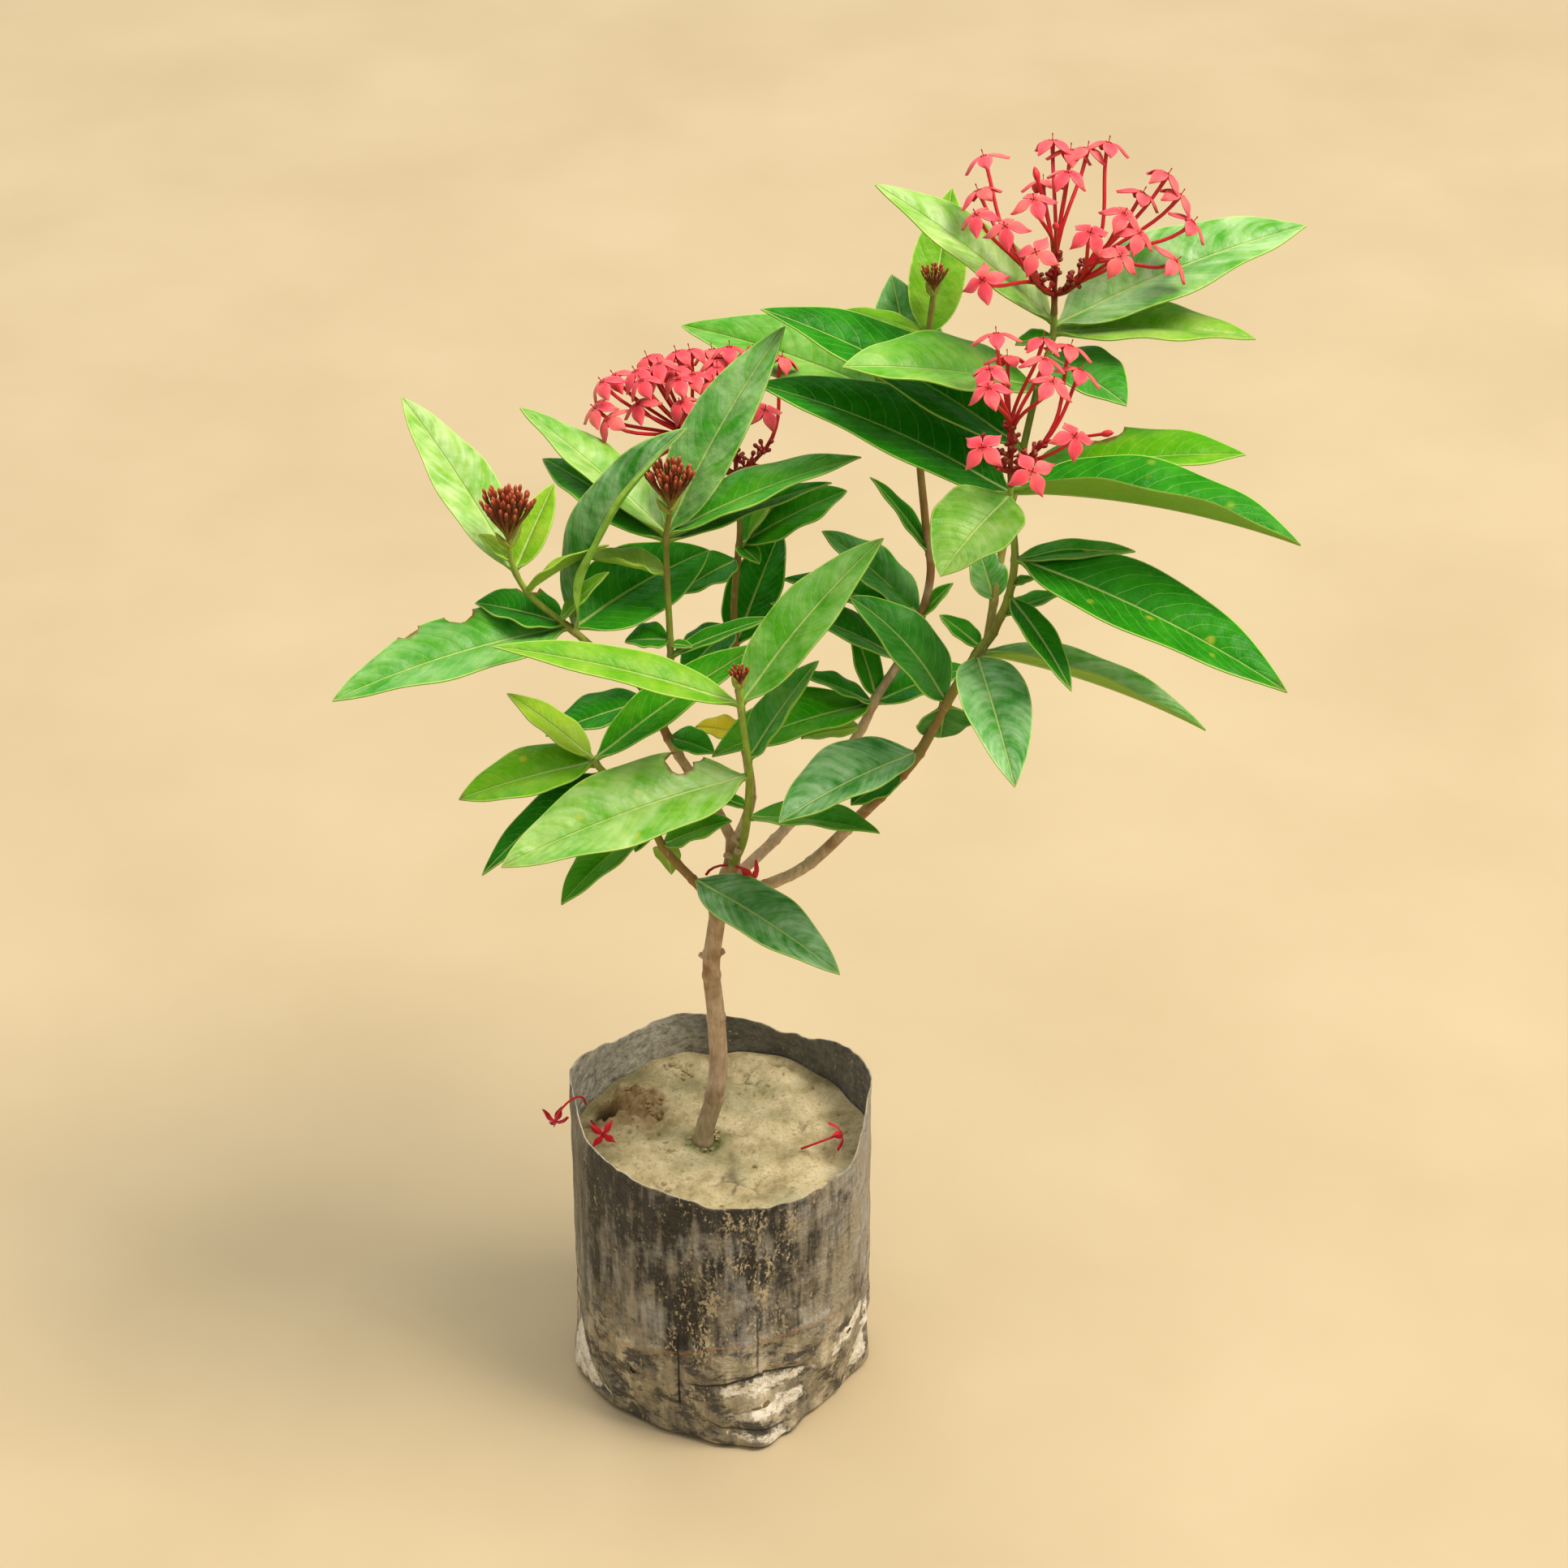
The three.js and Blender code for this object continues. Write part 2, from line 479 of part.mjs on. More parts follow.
function trunk() {
  const limbs = Object.entries(WOOD).map(([name, to]) => limb(name, 0, to, 7));
  const snags = SNAGS.map(([name, at, heading, rise, length, radius]) => {
    const foot = curves[name].getPointAt(at);
    const tip = foot.clone().addScaledVector(direction(heading, rise), length);
    return stalk([foot, tip], [radius, radius * 0.8], 5);
  });
  return fuse([...limbs, ...snags]);
}

// A floret that has dropped. It lies on the foot of its tube and the tips of two petals, and its
// open face looks along the heading.
function fallenFloret(name, x, y, z, heading) {
  const mouth = new THREE.Vector3(x, y, z);
  const axis = direction(heading, FALLEN_RISE);
  const foot = mouth.clone().addScaledVector(axis, -TUBE_LENGTH);
  return toMesh(name, floret(foot, mouth, axis, 45), CORAL);
}

const plant = new THREE.Group();
plant.add(toMesh('grow_bag', growBag(), FILM));
plant.add(toMesh('soil', soil(), MUD));
plant.add(toMesh('trunk', trunk(), BARK));
for (const name of Object.keys(LEAVES)) plant.add(shoot(name));
for (const [name, plan] of Object.entries(BLOOMS)) plant.add(bloom(name, plan));
for (const [name, plan] of Object.entries(BUD_HEADS)) plant.add(budHead(name, plan));
plant.add(fallenFloret('fallen_floret_left', -61, -5, 151.4, -70));
plant.add(fallenFloret('fallen_floret_right', 62, -6, 152.35, 10));

export default plant;
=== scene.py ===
# %% [markdown]
# # An ixora in a nursery grow bag
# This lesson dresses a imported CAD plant. The CAD says where each stem, leaf, floret and bud is
# and how large. Here each of them gets its finer form and its finish, in the same frame, so
# nothing has to be fitted afterwards. Sizes are worked in millimetres and scaled to metres last.

# %% Load the frame
import math
import random

import bmesh
import bpy
from mathutils import Matrix, Quaternion, Vector, noise


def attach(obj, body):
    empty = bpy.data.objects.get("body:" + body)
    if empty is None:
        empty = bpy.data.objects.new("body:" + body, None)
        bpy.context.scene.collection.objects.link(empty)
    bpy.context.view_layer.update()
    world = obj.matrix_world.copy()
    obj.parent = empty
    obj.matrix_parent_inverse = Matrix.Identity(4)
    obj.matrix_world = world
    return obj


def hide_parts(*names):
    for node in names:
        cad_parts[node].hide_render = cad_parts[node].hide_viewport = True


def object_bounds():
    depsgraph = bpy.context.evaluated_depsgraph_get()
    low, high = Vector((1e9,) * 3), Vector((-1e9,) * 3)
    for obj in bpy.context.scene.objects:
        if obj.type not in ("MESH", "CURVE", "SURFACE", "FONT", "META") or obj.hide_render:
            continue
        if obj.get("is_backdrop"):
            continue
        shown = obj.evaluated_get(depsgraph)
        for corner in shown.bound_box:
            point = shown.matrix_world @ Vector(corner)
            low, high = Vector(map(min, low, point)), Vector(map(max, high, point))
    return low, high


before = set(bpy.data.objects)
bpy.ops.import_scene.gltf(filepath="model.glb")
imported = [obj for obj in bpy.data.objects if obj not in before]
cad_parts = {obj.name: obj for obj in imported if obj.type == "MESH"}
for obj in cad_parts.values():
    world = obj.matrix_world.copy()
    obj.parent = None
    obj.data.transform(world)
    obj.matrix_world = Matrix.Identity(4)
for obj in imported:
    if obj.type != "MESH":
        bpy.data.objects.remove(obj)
CAD_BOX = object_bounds()
MM = 0.001
UP = Vector((0, 0, 1))
print("nodes:", len(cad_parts), "box:", [round(c, 3) for p in CAD_BOX for c in p])

# %% [markdown]
# ## Camera
# The camera stands about two metres off and looks down on the plant by 34 degrees, the way a
# person sees a pot on the ground. A long lens keeps the leaves from looking stretched.

# %% Camera
CAMERA_PITCH = math.radians(34)
CAMERA_DISTANCE = 2.0
CAMERA_TARGET = Vector((0.0327, 0, 0.367))
camera = bpy.data.objects.new("camera", bpy.data.cameras.new("camera"))
camera.data.sensor_width = 36
camera.data.lens = 93.8         # as long as the wanted view asks of a 36 mm sensor
camera.location = CAMERA_TARGET + CAMERA_DISTANCE * Vector(
    (0, -math.cos(CAMERA_PITCH), math.sin(CAMERA_PITCH)))
camera.rotation_euler = (math.pi / 2 - CAMERA_PITCH, 0, 0)
camera.data.clip_end = 50
bpy.context.scene.collection.objects.link(camera)
bpy.context.scene.camera = camera
bpy.context.scene.view_settings.view_transform = "Standard"
print("camera at", [round(c, 3) for c in camera.location])

# %% [markdown]
# ## Colours and nodes
# Colours are given as the hex values that a screen shows, and the shader wants linear light, so
# one function turns them. One more function adds a shader node with its settings and its links,
# and every finish below is written with it.

# %% Colour and node helpers
def linear(code):
    values = [int(code[i:i + 2], 16) / 255 for i in (1, 3, 5)]
    return (*[v / 12.92 if v <= 0.04045 else ((v + 0.055) / 1.055) ** 2.4 for v in values], 1)


def add(tree, kind, inputs=None, out=0, stops=None, **settings):
    """Adds a shader node, sets it, links what it is given and returns one of its outputs."""
    node = tree.nodes.new("ShaderNode" + kind)
    for key, value in settings.items():
        setattr(node, key, value)
    if stops:
        ramp = node.color_ramp.elements
        for k, (spot, colour) in enumerate(stops):
            stop = ramp[k] if k < 2 else ramp.new(spot)
            stop.position = spot
            stop.color = linear(colour)
    for key, value in (inputs or {}).items():
        if isinstance(value, bpy.types.NodeSocket):
            tree.links.new(value, node.inputs[key])
        elif isinstance(value, str):
            node.inputs[key].default_value = linear(value)
        else:
            node.inputs[key].default_value = value
    return node.outputs[out]


def start_finish(name, **constants):
    """A new node material, with constants set on the shader's own sockets."""
    material = bpy.data.materials.new(name)
    material.use_nodes = True
    shader = material.node_tree.nodes["Principled BSDF"]
    for key, value in constants.items():
        shader.inputs[key.replace("_", " ")].default_value = value
    return material, material.node_tree, shader


def apart(mm):
    """The scale, as a whole number, of a pattern whose features lie this many mm apart."""
    return round(1 / (mm * MM))


MIX, FACTOR, A, B, MIXED = "Mix", 0, 6, 7, 2   # the colour sockets of a Mix node
OBJECT, FAC = 3, 2                # outputs: object coordinates, and a plain number attribute
print("a pattern 5 mm apart has the scale", apart(5))

# %% [markdown]
# ## Floor and light
# A plain pale floor and a bright even sky stand in for an open yard. The main light is wide and
# comes from high on the right, so shadows are soft and fall to the left, and the glossy leaves
# mirror a broad pale patch instead of a hard spot.

# %% Floor and light
floor_mesh = bmesh.new()
bmesh.ops.create_grid(floor_mesh, x_segments=1, y_segments=1, size=6)
floor = bpy.data.objects.new("floor", bpy.data.meshes.new("floor"))
floor_mesh.to_mesh(floor.data)
floor_mesh.free()
bpy.context.scene.collection.objects.link(floor)
finish, tree, shader = start_finish("pale_matte_floor", Roughness=0.9, IOR=1.3)
grain = add(tree, "TexNoise", {"Vector": add(tree, "TexCoord", out=OBJECT),
                               "Scale": 5, "Detail": 4})
tint = add(tree, MIX, {FACTOR: grain, A: "#b09d7a", B: "#c4b291"}, out=MIXED, data_type="RGBA")
tree.links.new(tint, shader.inputs["Base Color"])
floor.data.materials.append(finish)
floor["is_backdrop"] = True

world = bpy.data.worlds.new("soft_sky")
bpy.context.scene.world = world
world.use_nodes = True
sky = world.node_tree.nodes["Background"].inputs
sky["Color"].default_value = linear("#f5f4ee")
# The dome is brightest overhead, so a blade shows gloss only where it leans to the light.
sky_height = add(world.node_tree, "TexCoord", out=0)
sky_height = add(world.node_tree, "SeparateXYZ", {0: sky_height}, out=2)
dome = add(world.node_tree, "MapRange", {"Value": sky_height, "From Min": 0.6, "From Max": 0.95,
                                         "To Min": 0.38, "To Max": 1.9})
world.node_tree.links.new(dome, sky["Strength"])


def soft_light(name, spot, size, watts, colour):
    lamp = bpy.data.lights.new(name, "AREA")
    lamp.size = size
    lamp.energy = watts
    lamp.color = linear(colour)[:3]
    light = bpy.data.objects.new(name, lamp)
    light.location = spot
    light.rotation_euler = (CAMERA_TARGET - Vector(spot)).to_track_quat("-Z", "Y").to_euler()
    bpy.context.scene.collection.objects.link(light)
    light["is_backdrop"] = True


soft_light("key", (2.2, -0.6, 4.5), 1.9, 250, "#fff5e6")
soft_light("back_sky", (-1.2, 2.4, 2.6), 1.6, 22, "#f4f8ff")
print("lights:", [light.name for light in bpy.data.lights])

# %% [markdown]
# ## Where the stems run
# Each stem is a smooth curve through given points, the same as in the CAD. A Catmull-Rom curve
# passes through its points, which makes it easy to lay a stem on measured places. Sampling it
# finely once gives the point and the direction at any share of its length.

# %% Stems
STEMS = {
    "trunk": ([5.2, 4.0],
              [[-9, 1, 112], [-9, 1, 146], [-3, 0, 173], [-1, 0, 193], [-2, 0, 226],
               [-4, 0, 256], [-2, 0, 276], [2, 0, 302], [7, 0, 321], [8, 2, 335]]),
    "low_left": ([2.5, 1.6],
                 [[-2, -1, 296], [-11, -6, 312], [-26, -14, 338], [-32, -18, 355],
                  [-46, -24, 378], [-59, -28, 400]]),
    "left": ([2.8, 1.3],
             [[8, 2, 330], [-2, 4, 352], [-14, 6, 371], [-23, 8, 387], [-36, 8, 418],
              [-50, 6, 432], [-66, 2, 452], [-88, -4, 478], [-95, -6, 495], [-96, -7, 506]]),
    "centre": ([1.9, 1.3],
               [[-26, 8, 394], [-23, 10, 413], [-22, 10, 434], [-23, 10, 478], [-23, 10, 501],
                [-21, 4, 518]]),
    "back": ([2.6, 1.4],
             [[7, 4, 326], [16, 20, 342], [14, 40, 358], [10, 58, 389], [8, 68, 426],
              [11, 76, 467], [10, 79, 483]]),
    "front": ([2.4, 1.4],
              [[6, -1, 318], [12, -10, 338], [15, -20, 364], [16, -30, 395], [13, -38, 430],
               [12, -41, 449]]),
    "middle": ([2.9, 1.5],
               [[3, 2, 306], [17, 10, 314], [35, 24, 326], [55, 38, 345], [72, 50, 368],
                [78, 54, 381], [91, 60, 402], [100, 65, 422], [105, 70, 445], [102, 76, 472],
                [98, 84, 519], [101, 88, 556], [104, 90, 588]]),
    "right": ([3.1, 2.4],
              [[0, -1, 294], [22, -4, 308], [42, -9, 323], [71, -18, 362], [96, -26, 400],
               [109, -30, 432], [123, -33, 462], [131, -34, 476]]),
    "right_front": ([2.1, 1.5],
                    [[131, -34, 476], [137, -38, 498], [139, -40, 519], [137, -41, 542],
                     [136, -41, 558]]),
    "right_back": ([2.1, 1.5],
                   [[128, -33, 470], [131, -22, 484], [135, -6, 502], [142, 12, 532],
                    [150, 26, 567], [158, 34, 597], [158, 35, 606]]),
}
# The share of each branch that is wood, and the share of a side shoot that starts in its parent.
WOOD = {"trunk": 1, "low_left": 0.11, "left": 0.26, "back": 0.26, "front": 0.22,
        "middle": 0.27, "right": 0.27}
FORKS = [("left", "centre", 0.13), ("right", "right_back", 0.09),
         ("right", "right_front", 0.07)]
SAMPLES = 400


def curve_point(points, t):
    """A point of the centripetal Catmull-Rom curve through points, at t from 0 to 1."""
    last = len(points) - 1
    k = min(int(t * last), last - 1)
    w = t * last - k
    p1, p2 = points[k], points[k + 1]
    p0 = points[k - 1] if k > 0 else 2 * p1 - p2
    p3 = points[k + 2] if k + 2 <= last else 2 * p2 - p1
    d0, d1, d2 = [max((b - a).length, 1e-6) ** 0.5 for a, b in ((p0, p1), (p1, p2), (p2, p3))]
    t1 = ((p1 - p0) / d0 - (p2 - p0) / (d0 + d1) + (p2 - p1) / d1) * d1
    t2 = ((p2 - p1) / d1 - (p3 - p1) / (d1 + d2) + (p3 - p2) / d2) * d1
    return (p1 + t1 * w + (-3 * p1 + 3 * p2 - 2 * t1 - t2) * w ** 2
            + (2 * p1 - 2 * p2 + t1 + t2) * w ** 3)


def sample(points):
    """Evenly spaced points along the whole curve."""
    points = [Vector(p) for p in points]
    fine = [curve_point(points, k / SAMPLES) for k in range(SAMPLES + 1)]
    gone = [0.0]
    for a, b in zip(fine, fine[1:]):
        gone.append(gone[-1] + (b - a).length)
    even, k = [], 0
    for i in range(SAMPLES + 1):
        want = gone[-1] * i / SAMPLES
        while k < SAMPLES - 1 and gone[k + 1] < want:
            k += 1
        even.append(fine[k].lerp(fine[k + 1], (want - gone[k]) / (gone[k + 1] - gone[k])))
    return even, gone[-1]


ROUTES = {name: sample(points) for name, (_, points) in STEMS.items()}


def on_stem(name, u):
    """The point and the direction at the share u of a stem's length."""
    even, _ = ROUTES[name]
    x = min(max(u, 0), 1) * SAMPLES
    k = min(int(x), SAMPLES - 1)
    way = even[min(k + 2, SAMPLES)] - even[max(k - 1, 0)]
    return even[k].lerp(even[k + 1], x - k), way.normalized()


print("stem lengths in mm:", {name: round(length) for name, (_, length) in ROUTES.items()})

# %% [markdown]
# ## The leaf plan
# A leaf is a row of numbers: its place along the stem, the heading and rise of its blade, its
# length and width, how far it droops, rolls and folds up along the midrib, and how it looks.
# Tone runs from 0, old and dark, to 1, young and yellow-green. Dust and sheen is the grey dust on
# some blades together with a pale painted sheen, the light's reflection on the wax painted into
# the colour, and spots are the yellow and brown marks of age. A bite is [place along, place
# across, radius]. Places are shares, angles are degrees and lengths are millimetres.

# %% Leaf plan
LEAVES = {
    "low_left": [
        [0.18, -36, -12, 92, 34, 20, 10, 14, 0.16, 0.75, 0.0],
        [0.42, 85, -50, 50, 14, 18, 0, 14, 0.2, 0, 0],
        [0.43, 3, 22, 37, 26, 18, 0, 14, 0.45, 0, 0.2],
        [0.56, -125, -30, 16, 10, 18, 0, 14, 0.3, 0, 0],
        [0.57, -146, -28, 59, 32, 18, 10, 14, 0.45, 0, 0.2],
        [0.92, -164, -38, 79, 22, 18, -10, 14, 0.12, 0, 0],
        [0.97, 157, -32, 45, 18, 15, 0, 14, 0.12, 0, 0],
        [0.98, -171, -12, 68, 34, 15, -10, 14, 0.58, 0, 0.7],
        [0.99, 19, 30, 99, 28, 15, 10, 14, 0.36, 0, 0.6],
        [1.0, 150, 25, 53, 20, 12, 0, 14, 0.8, 0, 0]],
    "left": [
        [0.32, -17, -10, 24, 22, 12, 0, 14, 0.3, 0, 0],
        [0.4, -7, 25, 30, 18, 10, 0, 14, 0.3, 0, 0.2],
        [0.43, -165, -12, 54, 30, 15, 0, 14, 0.2, 0, 0],
        [0.71, 44, 5, 90, 44, 15, 22, 14, 0.2, 0, 0],
        [0.72, -158, -6, 120, 44, 20, -10, 14, 0.42, 0.4, 0.1, [0.4, 1, 7], [0.62, 1, 6]],
        [0.7, 4, 64, 126, 34, 50, 25, 20, 0.26, 0.8, 0],
        [0.73, 173, 12, 45, 34, 12, 0, 14, 0.12, 0, 0, [0.5, 1, 6]],
        [0.75, 13, 45, 34, 15, 12, 0, 14, 0.55, 0, 0],
        [0.87, 6, 30, 46, 22, 18, -30, 14, 0.78, 0, 0],
        [0.92, 126, 28, 111, 32, 12, 0, 14, 0.66, 0.85, 0],
        [0.96, 161, 35, 20, 12, 12, 0, 14, 0.75, 0, 0],
        [0.93, 60, 40, 47, 18, 8, 10, 14, 0.7, 0, 0]],
    "centre": [
        [0.325, 11, 18, 53, 14, 15, 0, 14, 0.3, 0, 0],
        [0.375, -10, 0, 11, 8, 18, 0, 14, 0.3, 0, 0],
        [0.395, -178, 0, 22, 24, 18, 0, 14, 0.18, 0, 0],
        [0.695, 166, 4, 42, 22, 12, 0, 14, 0.72, 0.3, 0.2],
        [0.835, 15, 14, 84, 22, 15, 0, 14, 0.2, 0, 0],
        [0.835, 136, 8, 86, 38, 15, 0, 14, 0.3, 0.1, 0],
        [0.865, 6, 22, 100, 34, 18, 0, 14, 0.38, 0.1, 0],
        [0.855, 32, 55, 115, 34, 15, 20, 14, 0.42, 0.65, 0],
        [0.865, 134, 15, 108, 34, 15, 12, 14, 0.6, 0.6, 0]],
    "back": [
        [0.32, 167, 5, 26, 20, 26, 0, 14, 1.4, 0, 1.0],
        [0.57, 63, 40, 66, 30, 15, 0, 14, 0.12, 0, 0],
        [0.63, -139, -25, 37, 28, 18, 0, 14, 0.12, 0, 0],
        [0.82, -148, -14, 36, 30, 18, 0, 14, 0.2, 0, 0],
        [0.84, 32, 42, 58, 28, 15, -30, 14, 0.55, 0, 0],
        [0.86, -49, -10, 16, 12, 18, 0, 14, 0.3, 0, 0],
        [0.86, 23, 18, 61, 40, 15, 0, 14, 0.3, 0, 0]],
    "front": [
        [0.33, -18, 5, 68, 32, 18, -10, 14, 0.42, 0.1, 0.2],
        [0.39, 156, 5, 23, 10, 12, 0, 14, 0.3, 0, 0.4],
        [0.57, -157, -8, 129, 50, 18, -15, 14, 0.6, 0.55, 0.35,
         [0.17, 0.8, 6], [0.235, 0.62, 6.5]],
        [0.65, 32, 48, 59, 26, 12, 0, 14, 0.34, 0.3, 0],
        [0.92, 30, 42, 104, 33, 18, 15, 14, 0.5, 0.35, 0.3],
        [0.92, -180, 16, 121, 26, 15, -10, 14, 0.6, 0.1, 0]],
    "middle": [
        [0.31, -178, -10, 31, 18, 15, 0, 14, 0.7, 0, 1.0],
        [0.35, -172, 30, 43, 20, 12, 0, 14, 0.22, 0, 0],
        [0.35, -147, 2, 95, 38, 15, 0, 14, 0.4, 0, 0.2],
        [0.35, 22, 10, 54, 30, 15, 0, 14, 0.2, 0, 0],
        [0.36, 127, 60, 40, 16, 10, 0, 14, 0.25, 0, 0],
        [0.43, 178, 26, 72, 30, 15, 0, 14, 0.2, 0.1, 0],
        [0.5, 18, 45, 24, 12, 12, 0, 14, 0.35, 0, 0],
        [0.5, 156, 35, 65, 32, 15, 0, 14, 0.25, 0.3, 0],
        [0.5, 163, 8, 72, 32, 15, 0, 14, 0.2, 0, 0],
        [0.5, 170, 35, 28, 14, 12, 0, 14, 0.35, 0, 0],
        [0.6, 160, 50, 49, 14, 12, 0, 14, 0.2, 0, 0],
        [0.8, 108, 55, 74, 40, 12, -10, 14, 0.2, 0.4, 0],
        [0.82, 147, 3, 140, 46, 18, -14, 14, 0.5, 0.3, 0],
        [0.935, -175, 22, 44, 16, 12, 0, 14, 0.6, 0, 0],
        [0.93, 76, 49, 76, 28, 12, 10, 14, 0.6, 0.1, 0]],
    "right": [
        [0.58, -157, -22, 29, 24, 15, 0, 14, 0.2, 0, 0],
        [0.65, -150, -10, 79, 44, 18, 0, 20, 0.2, 0.75, 0],
        [0.79, 100, -70, 26, 28, 10, 180, 14, 0.15, 0.2, 0],
        [0.79, 158, 45, 71, 34, 40, -10, 14, 0.2, 0.15, 0],
        [0.93, -79, -15, 83, 36, 20, 0, 25, 0.24, 0.8, 0.15],
        [0.94, -22, -8, 114, 28, 20, -12, 38, 0.46, 0.8, 0],
        [0.95, 143, 22, 26, 14, 12, 0, 14, 0.3, 0, 0]],
    "right_front": [
        [0.12, 7, 20, 31, 14, 15, 0, 14, 0.3, 0.1, 0],
        [0.27, -61, -20, 60, 16, 18, 0, 14, 0.15, 0, 0],
        [0.35, -1, 20, 11, 8, 15, 0, 14, 0.4, 0, 0],
        [0.52, 2, 4, 56, 18, 15, 0, 14, 0.35, 0.2, 0],
        [0.53, -29, -12, 142, 46, 20, 8, 14, 0.14, 0, 0.4],
        [0.79, -145, -20, 21, 12, 15, 0, 14, 0.4, 0, 0],
        [0.94, -132, -22, 54, 44, 20, -5, 14, 0.6, 0.35, 0],
        [0.97, -12, -5, 134, 50, 20, -12, 36, 0.18, 0, 0.2]],
    "right_back": [
        [0.12, 117, 50, 29, 20, 10, 0, 14, 0.35, 0.6, 0],
        [0.44, 167, 20, 133, 54, 20, -5, 14, 0.12, 0, 0],
        [0.49, -1, 8, 108, 44, 18, 0, 14, 0.5, 0, 0, [0.39, -1, 11], [0.82, -0.9, 4]],
        [0.58, 166, 25, 140, 50, 20, -5, 14, 0.14, 0, 0],
        [0.77, -164, 15, 99, 50, 18, -5, 14, 0.54, 0.3, 0.1],
        [0.87, -45, -8, 50, 38, 18, 0, 14, 0.25, 0.2, 0],
        [0.93, -174, -10, 18, 14, 18, 0, 14, 0.3, 0, 0],
        [0.94, 1, -2, 95, 40, 18, 0, 14, 0.66, 0.3, 0.1],
        [0.96, 18, 15, 130, 50, 18, 10, 14, 0.46, 0.8, 0],
        [0.97, 155, 30, 106, 40, 15, 0, 14, 0.66, 0.8, 0]],
}
# Edges that have curled over, as (shoot, leaf): side, share of that half, degrees of turn.
CURLS = {("left", 5): (1, 0.5, 150), ("centre", 3): (-1, 0.55, 140), ("front", 3): (1, 0.3, 120),
         ("right_front", 6): (1, 0.3, 60), ("left", 8): (-1, 0.4, 80),
         ("middle", 2): (1, 0.3, 70), ("back", 1): (-1, 0.3, 60)}
print("leaves:", sum(len(rows) for rows in LEAVES.values()))

# %% [markdown]
# ## Leaf finish
# An ixora leaf is leathery and half glossy, because a thin wax skin covers a slightly quilted
# face. What the eye reads is the pale midrib, side veins that loop before the thin yellow-green
# edge, and a dull paler underside. The blade carries its own map, in millimetres across and as a
# share along, so the veins follow each leaf however it bends.

# %% Leaf finish
VEIN_STEPS = 31.0                 # twice the side veins to a side, as the wave below folds
leaf_finish, tree, shader = start_finish("waxy_leaf", IOR=1.45, Subsurface_Weight=0.1,
                                         Subsurface_Scale=0.004)
shader.inputs["Subsurface Radius"].default_value = (0.3, 1.0, 0.15)
blade = add(tree, "Attribute", out=1, attribute_name="blade")
look = add(tree, "Attribute", out=1, attribute_name="look")
across, along, signed_half = [add(tree, "SeparateXYZ", {0: blade}, out=k) for k in range(3)]
tone, dust_and_sheen, spots = [add(tree, "SeparateXYZ", {0: look}, out=k) for k in range(3)]
scorch = add(tree, "Attribute", out=FAC, attribute_name="scorch")
spot3d = add(tree, "TexCoord", out=OBJECT)
reach = add(tree, "Math", {0: across}, operation="ABSOLUTE")
half = add(tree, "Math", {0: signed_half}, operation="ABSOLUTE")
under = add(tree, "Math", {0: signed_half, 1: 0.0}, operation="LESS_THAN")
share = add(tree, "Math", {0: reach, 1: half}, operation="DIVIDE")
# Midrib: about 1.6 mm wide at the foot, and it thins out to the tip.
rib_width = add(tree, "MapRange", {"Value": along, "From Min": 0, "From Max": 1,
                                   "To Min": 1.15, "To Max": 0.45})
rib_ratio = add(tree, "Math", {0: reach, 1: rib_width}, operation="DIVIDE")
rib = add(tree, "MapRange", {"Value": rib_ratio, "From Min": 0.45, "From Max": 1.1,
                             "To Min": 1, "To Max": 0}, interpolation_type="SMOOTHSTEP")
# Side veins: they run out and forward from the midrib and bow up towards the tip.
wander = add(tree, "TexNoise", {"Vector": spot3d, "Scale": apart(16.7), "Detail": 1})
bow = add(tree, "Math", {0: share, 1: 1.5}, operation="POWER")
lean = add(tree, "Math", {0: bow, 1: -0.2, 2: along}, operation="MULTIPLY_ADD")
side_step = add(tree, "Math", {0: across, 1: 0.0}, operation="GREATER_THAN")
lean = add(tree, "Math", {0: side_step, 1: 0.04, 2: lean}, operation="MULTIPLY_ADD")
lean = add(tree, "Math", {0: wander, 1: 0.05, 2: lean}, operation="MULTIPLY_ADD")
count = add(tree, "Math", {0: lean, 1: VEIN_STEPS}, operation="MULTIPLY")
wave = add(tree, "Math", {0: count, 1: 1.0}, operation="PINGPONG")
vein = add(tree, "MapRange", {"Value": wave, "From Min": 0.0, "From Max": 0.09,
                              "To Min": 1, "To Max": 0}, interpolation_type="SMOOTHSTEP")
vein_fade = add(tree, "MapRange", {"Value": share, "From Min": 0.78, "From Max": 0.95,
                                   "To Min": 1, "To Max": 0.1})
vein = add(tree, "Math", {0: vein, 1: vein_fade}, operation="MULTIPLY")
# The fine net between the veins has meshes of about 2.5 mm.
net = add(tree, "TexVoronoi", {"Vector": spot3d, "Scale": apart(2.5)}, feature="DISTANCE_TO_EDGE")
net = add(tree, "MapRange", {"Value": net, "From Min": 0.0, "From Max": 0.12,
                             "To Min": 1, "To Max": 0})
print("leaf map:", len(tree.nodes), "nodes so far")

# %% [markdown]
# ### Leaf colours
# The colour is laid on as a gardener would see it: the green of the age first, then the pale dust
# and painted sheen, which is the light's reflection on the wax painted into the colour, then the
# veins, the rim, the dull underside, and last the marks of age. A Mix node in Screen mode adds the
# painted sheen, because a reflection brightens the green under it.

# %% Leaf colours
# Blotches of a centimetre or two make one blade darker here and lighter there.
blotch = add(tree, "TexNoise", {"Vector": spot3d, "Scale": apart(18.2), "Detail": 3,
                                "Roughness": 0.6})
shift = add(tree, "MapRange", {"Value": blotch, "From Min": 0.3, "From Max": 0.7,
                               "To Min": -0.1, "To Max": 0.12})
tone_here = add(tree, "Math", {0: tone, 1: shift}, operation="ADD")
tone_here = add(tree, "Math", {0: tone_here, 1: 0.85}, operation="MULTIPLY")
green = add(tree, "ValToRGB", {0: tone_here}, stops=[
    (0.0, "#125c00"), (1.0, "#dcc322"), (0.12, "#197600"), (0.28, "#2e8b00"),
    (0.45, "#569b04"), (0.62, "#86b022"), (0.8, "#b0c540")])
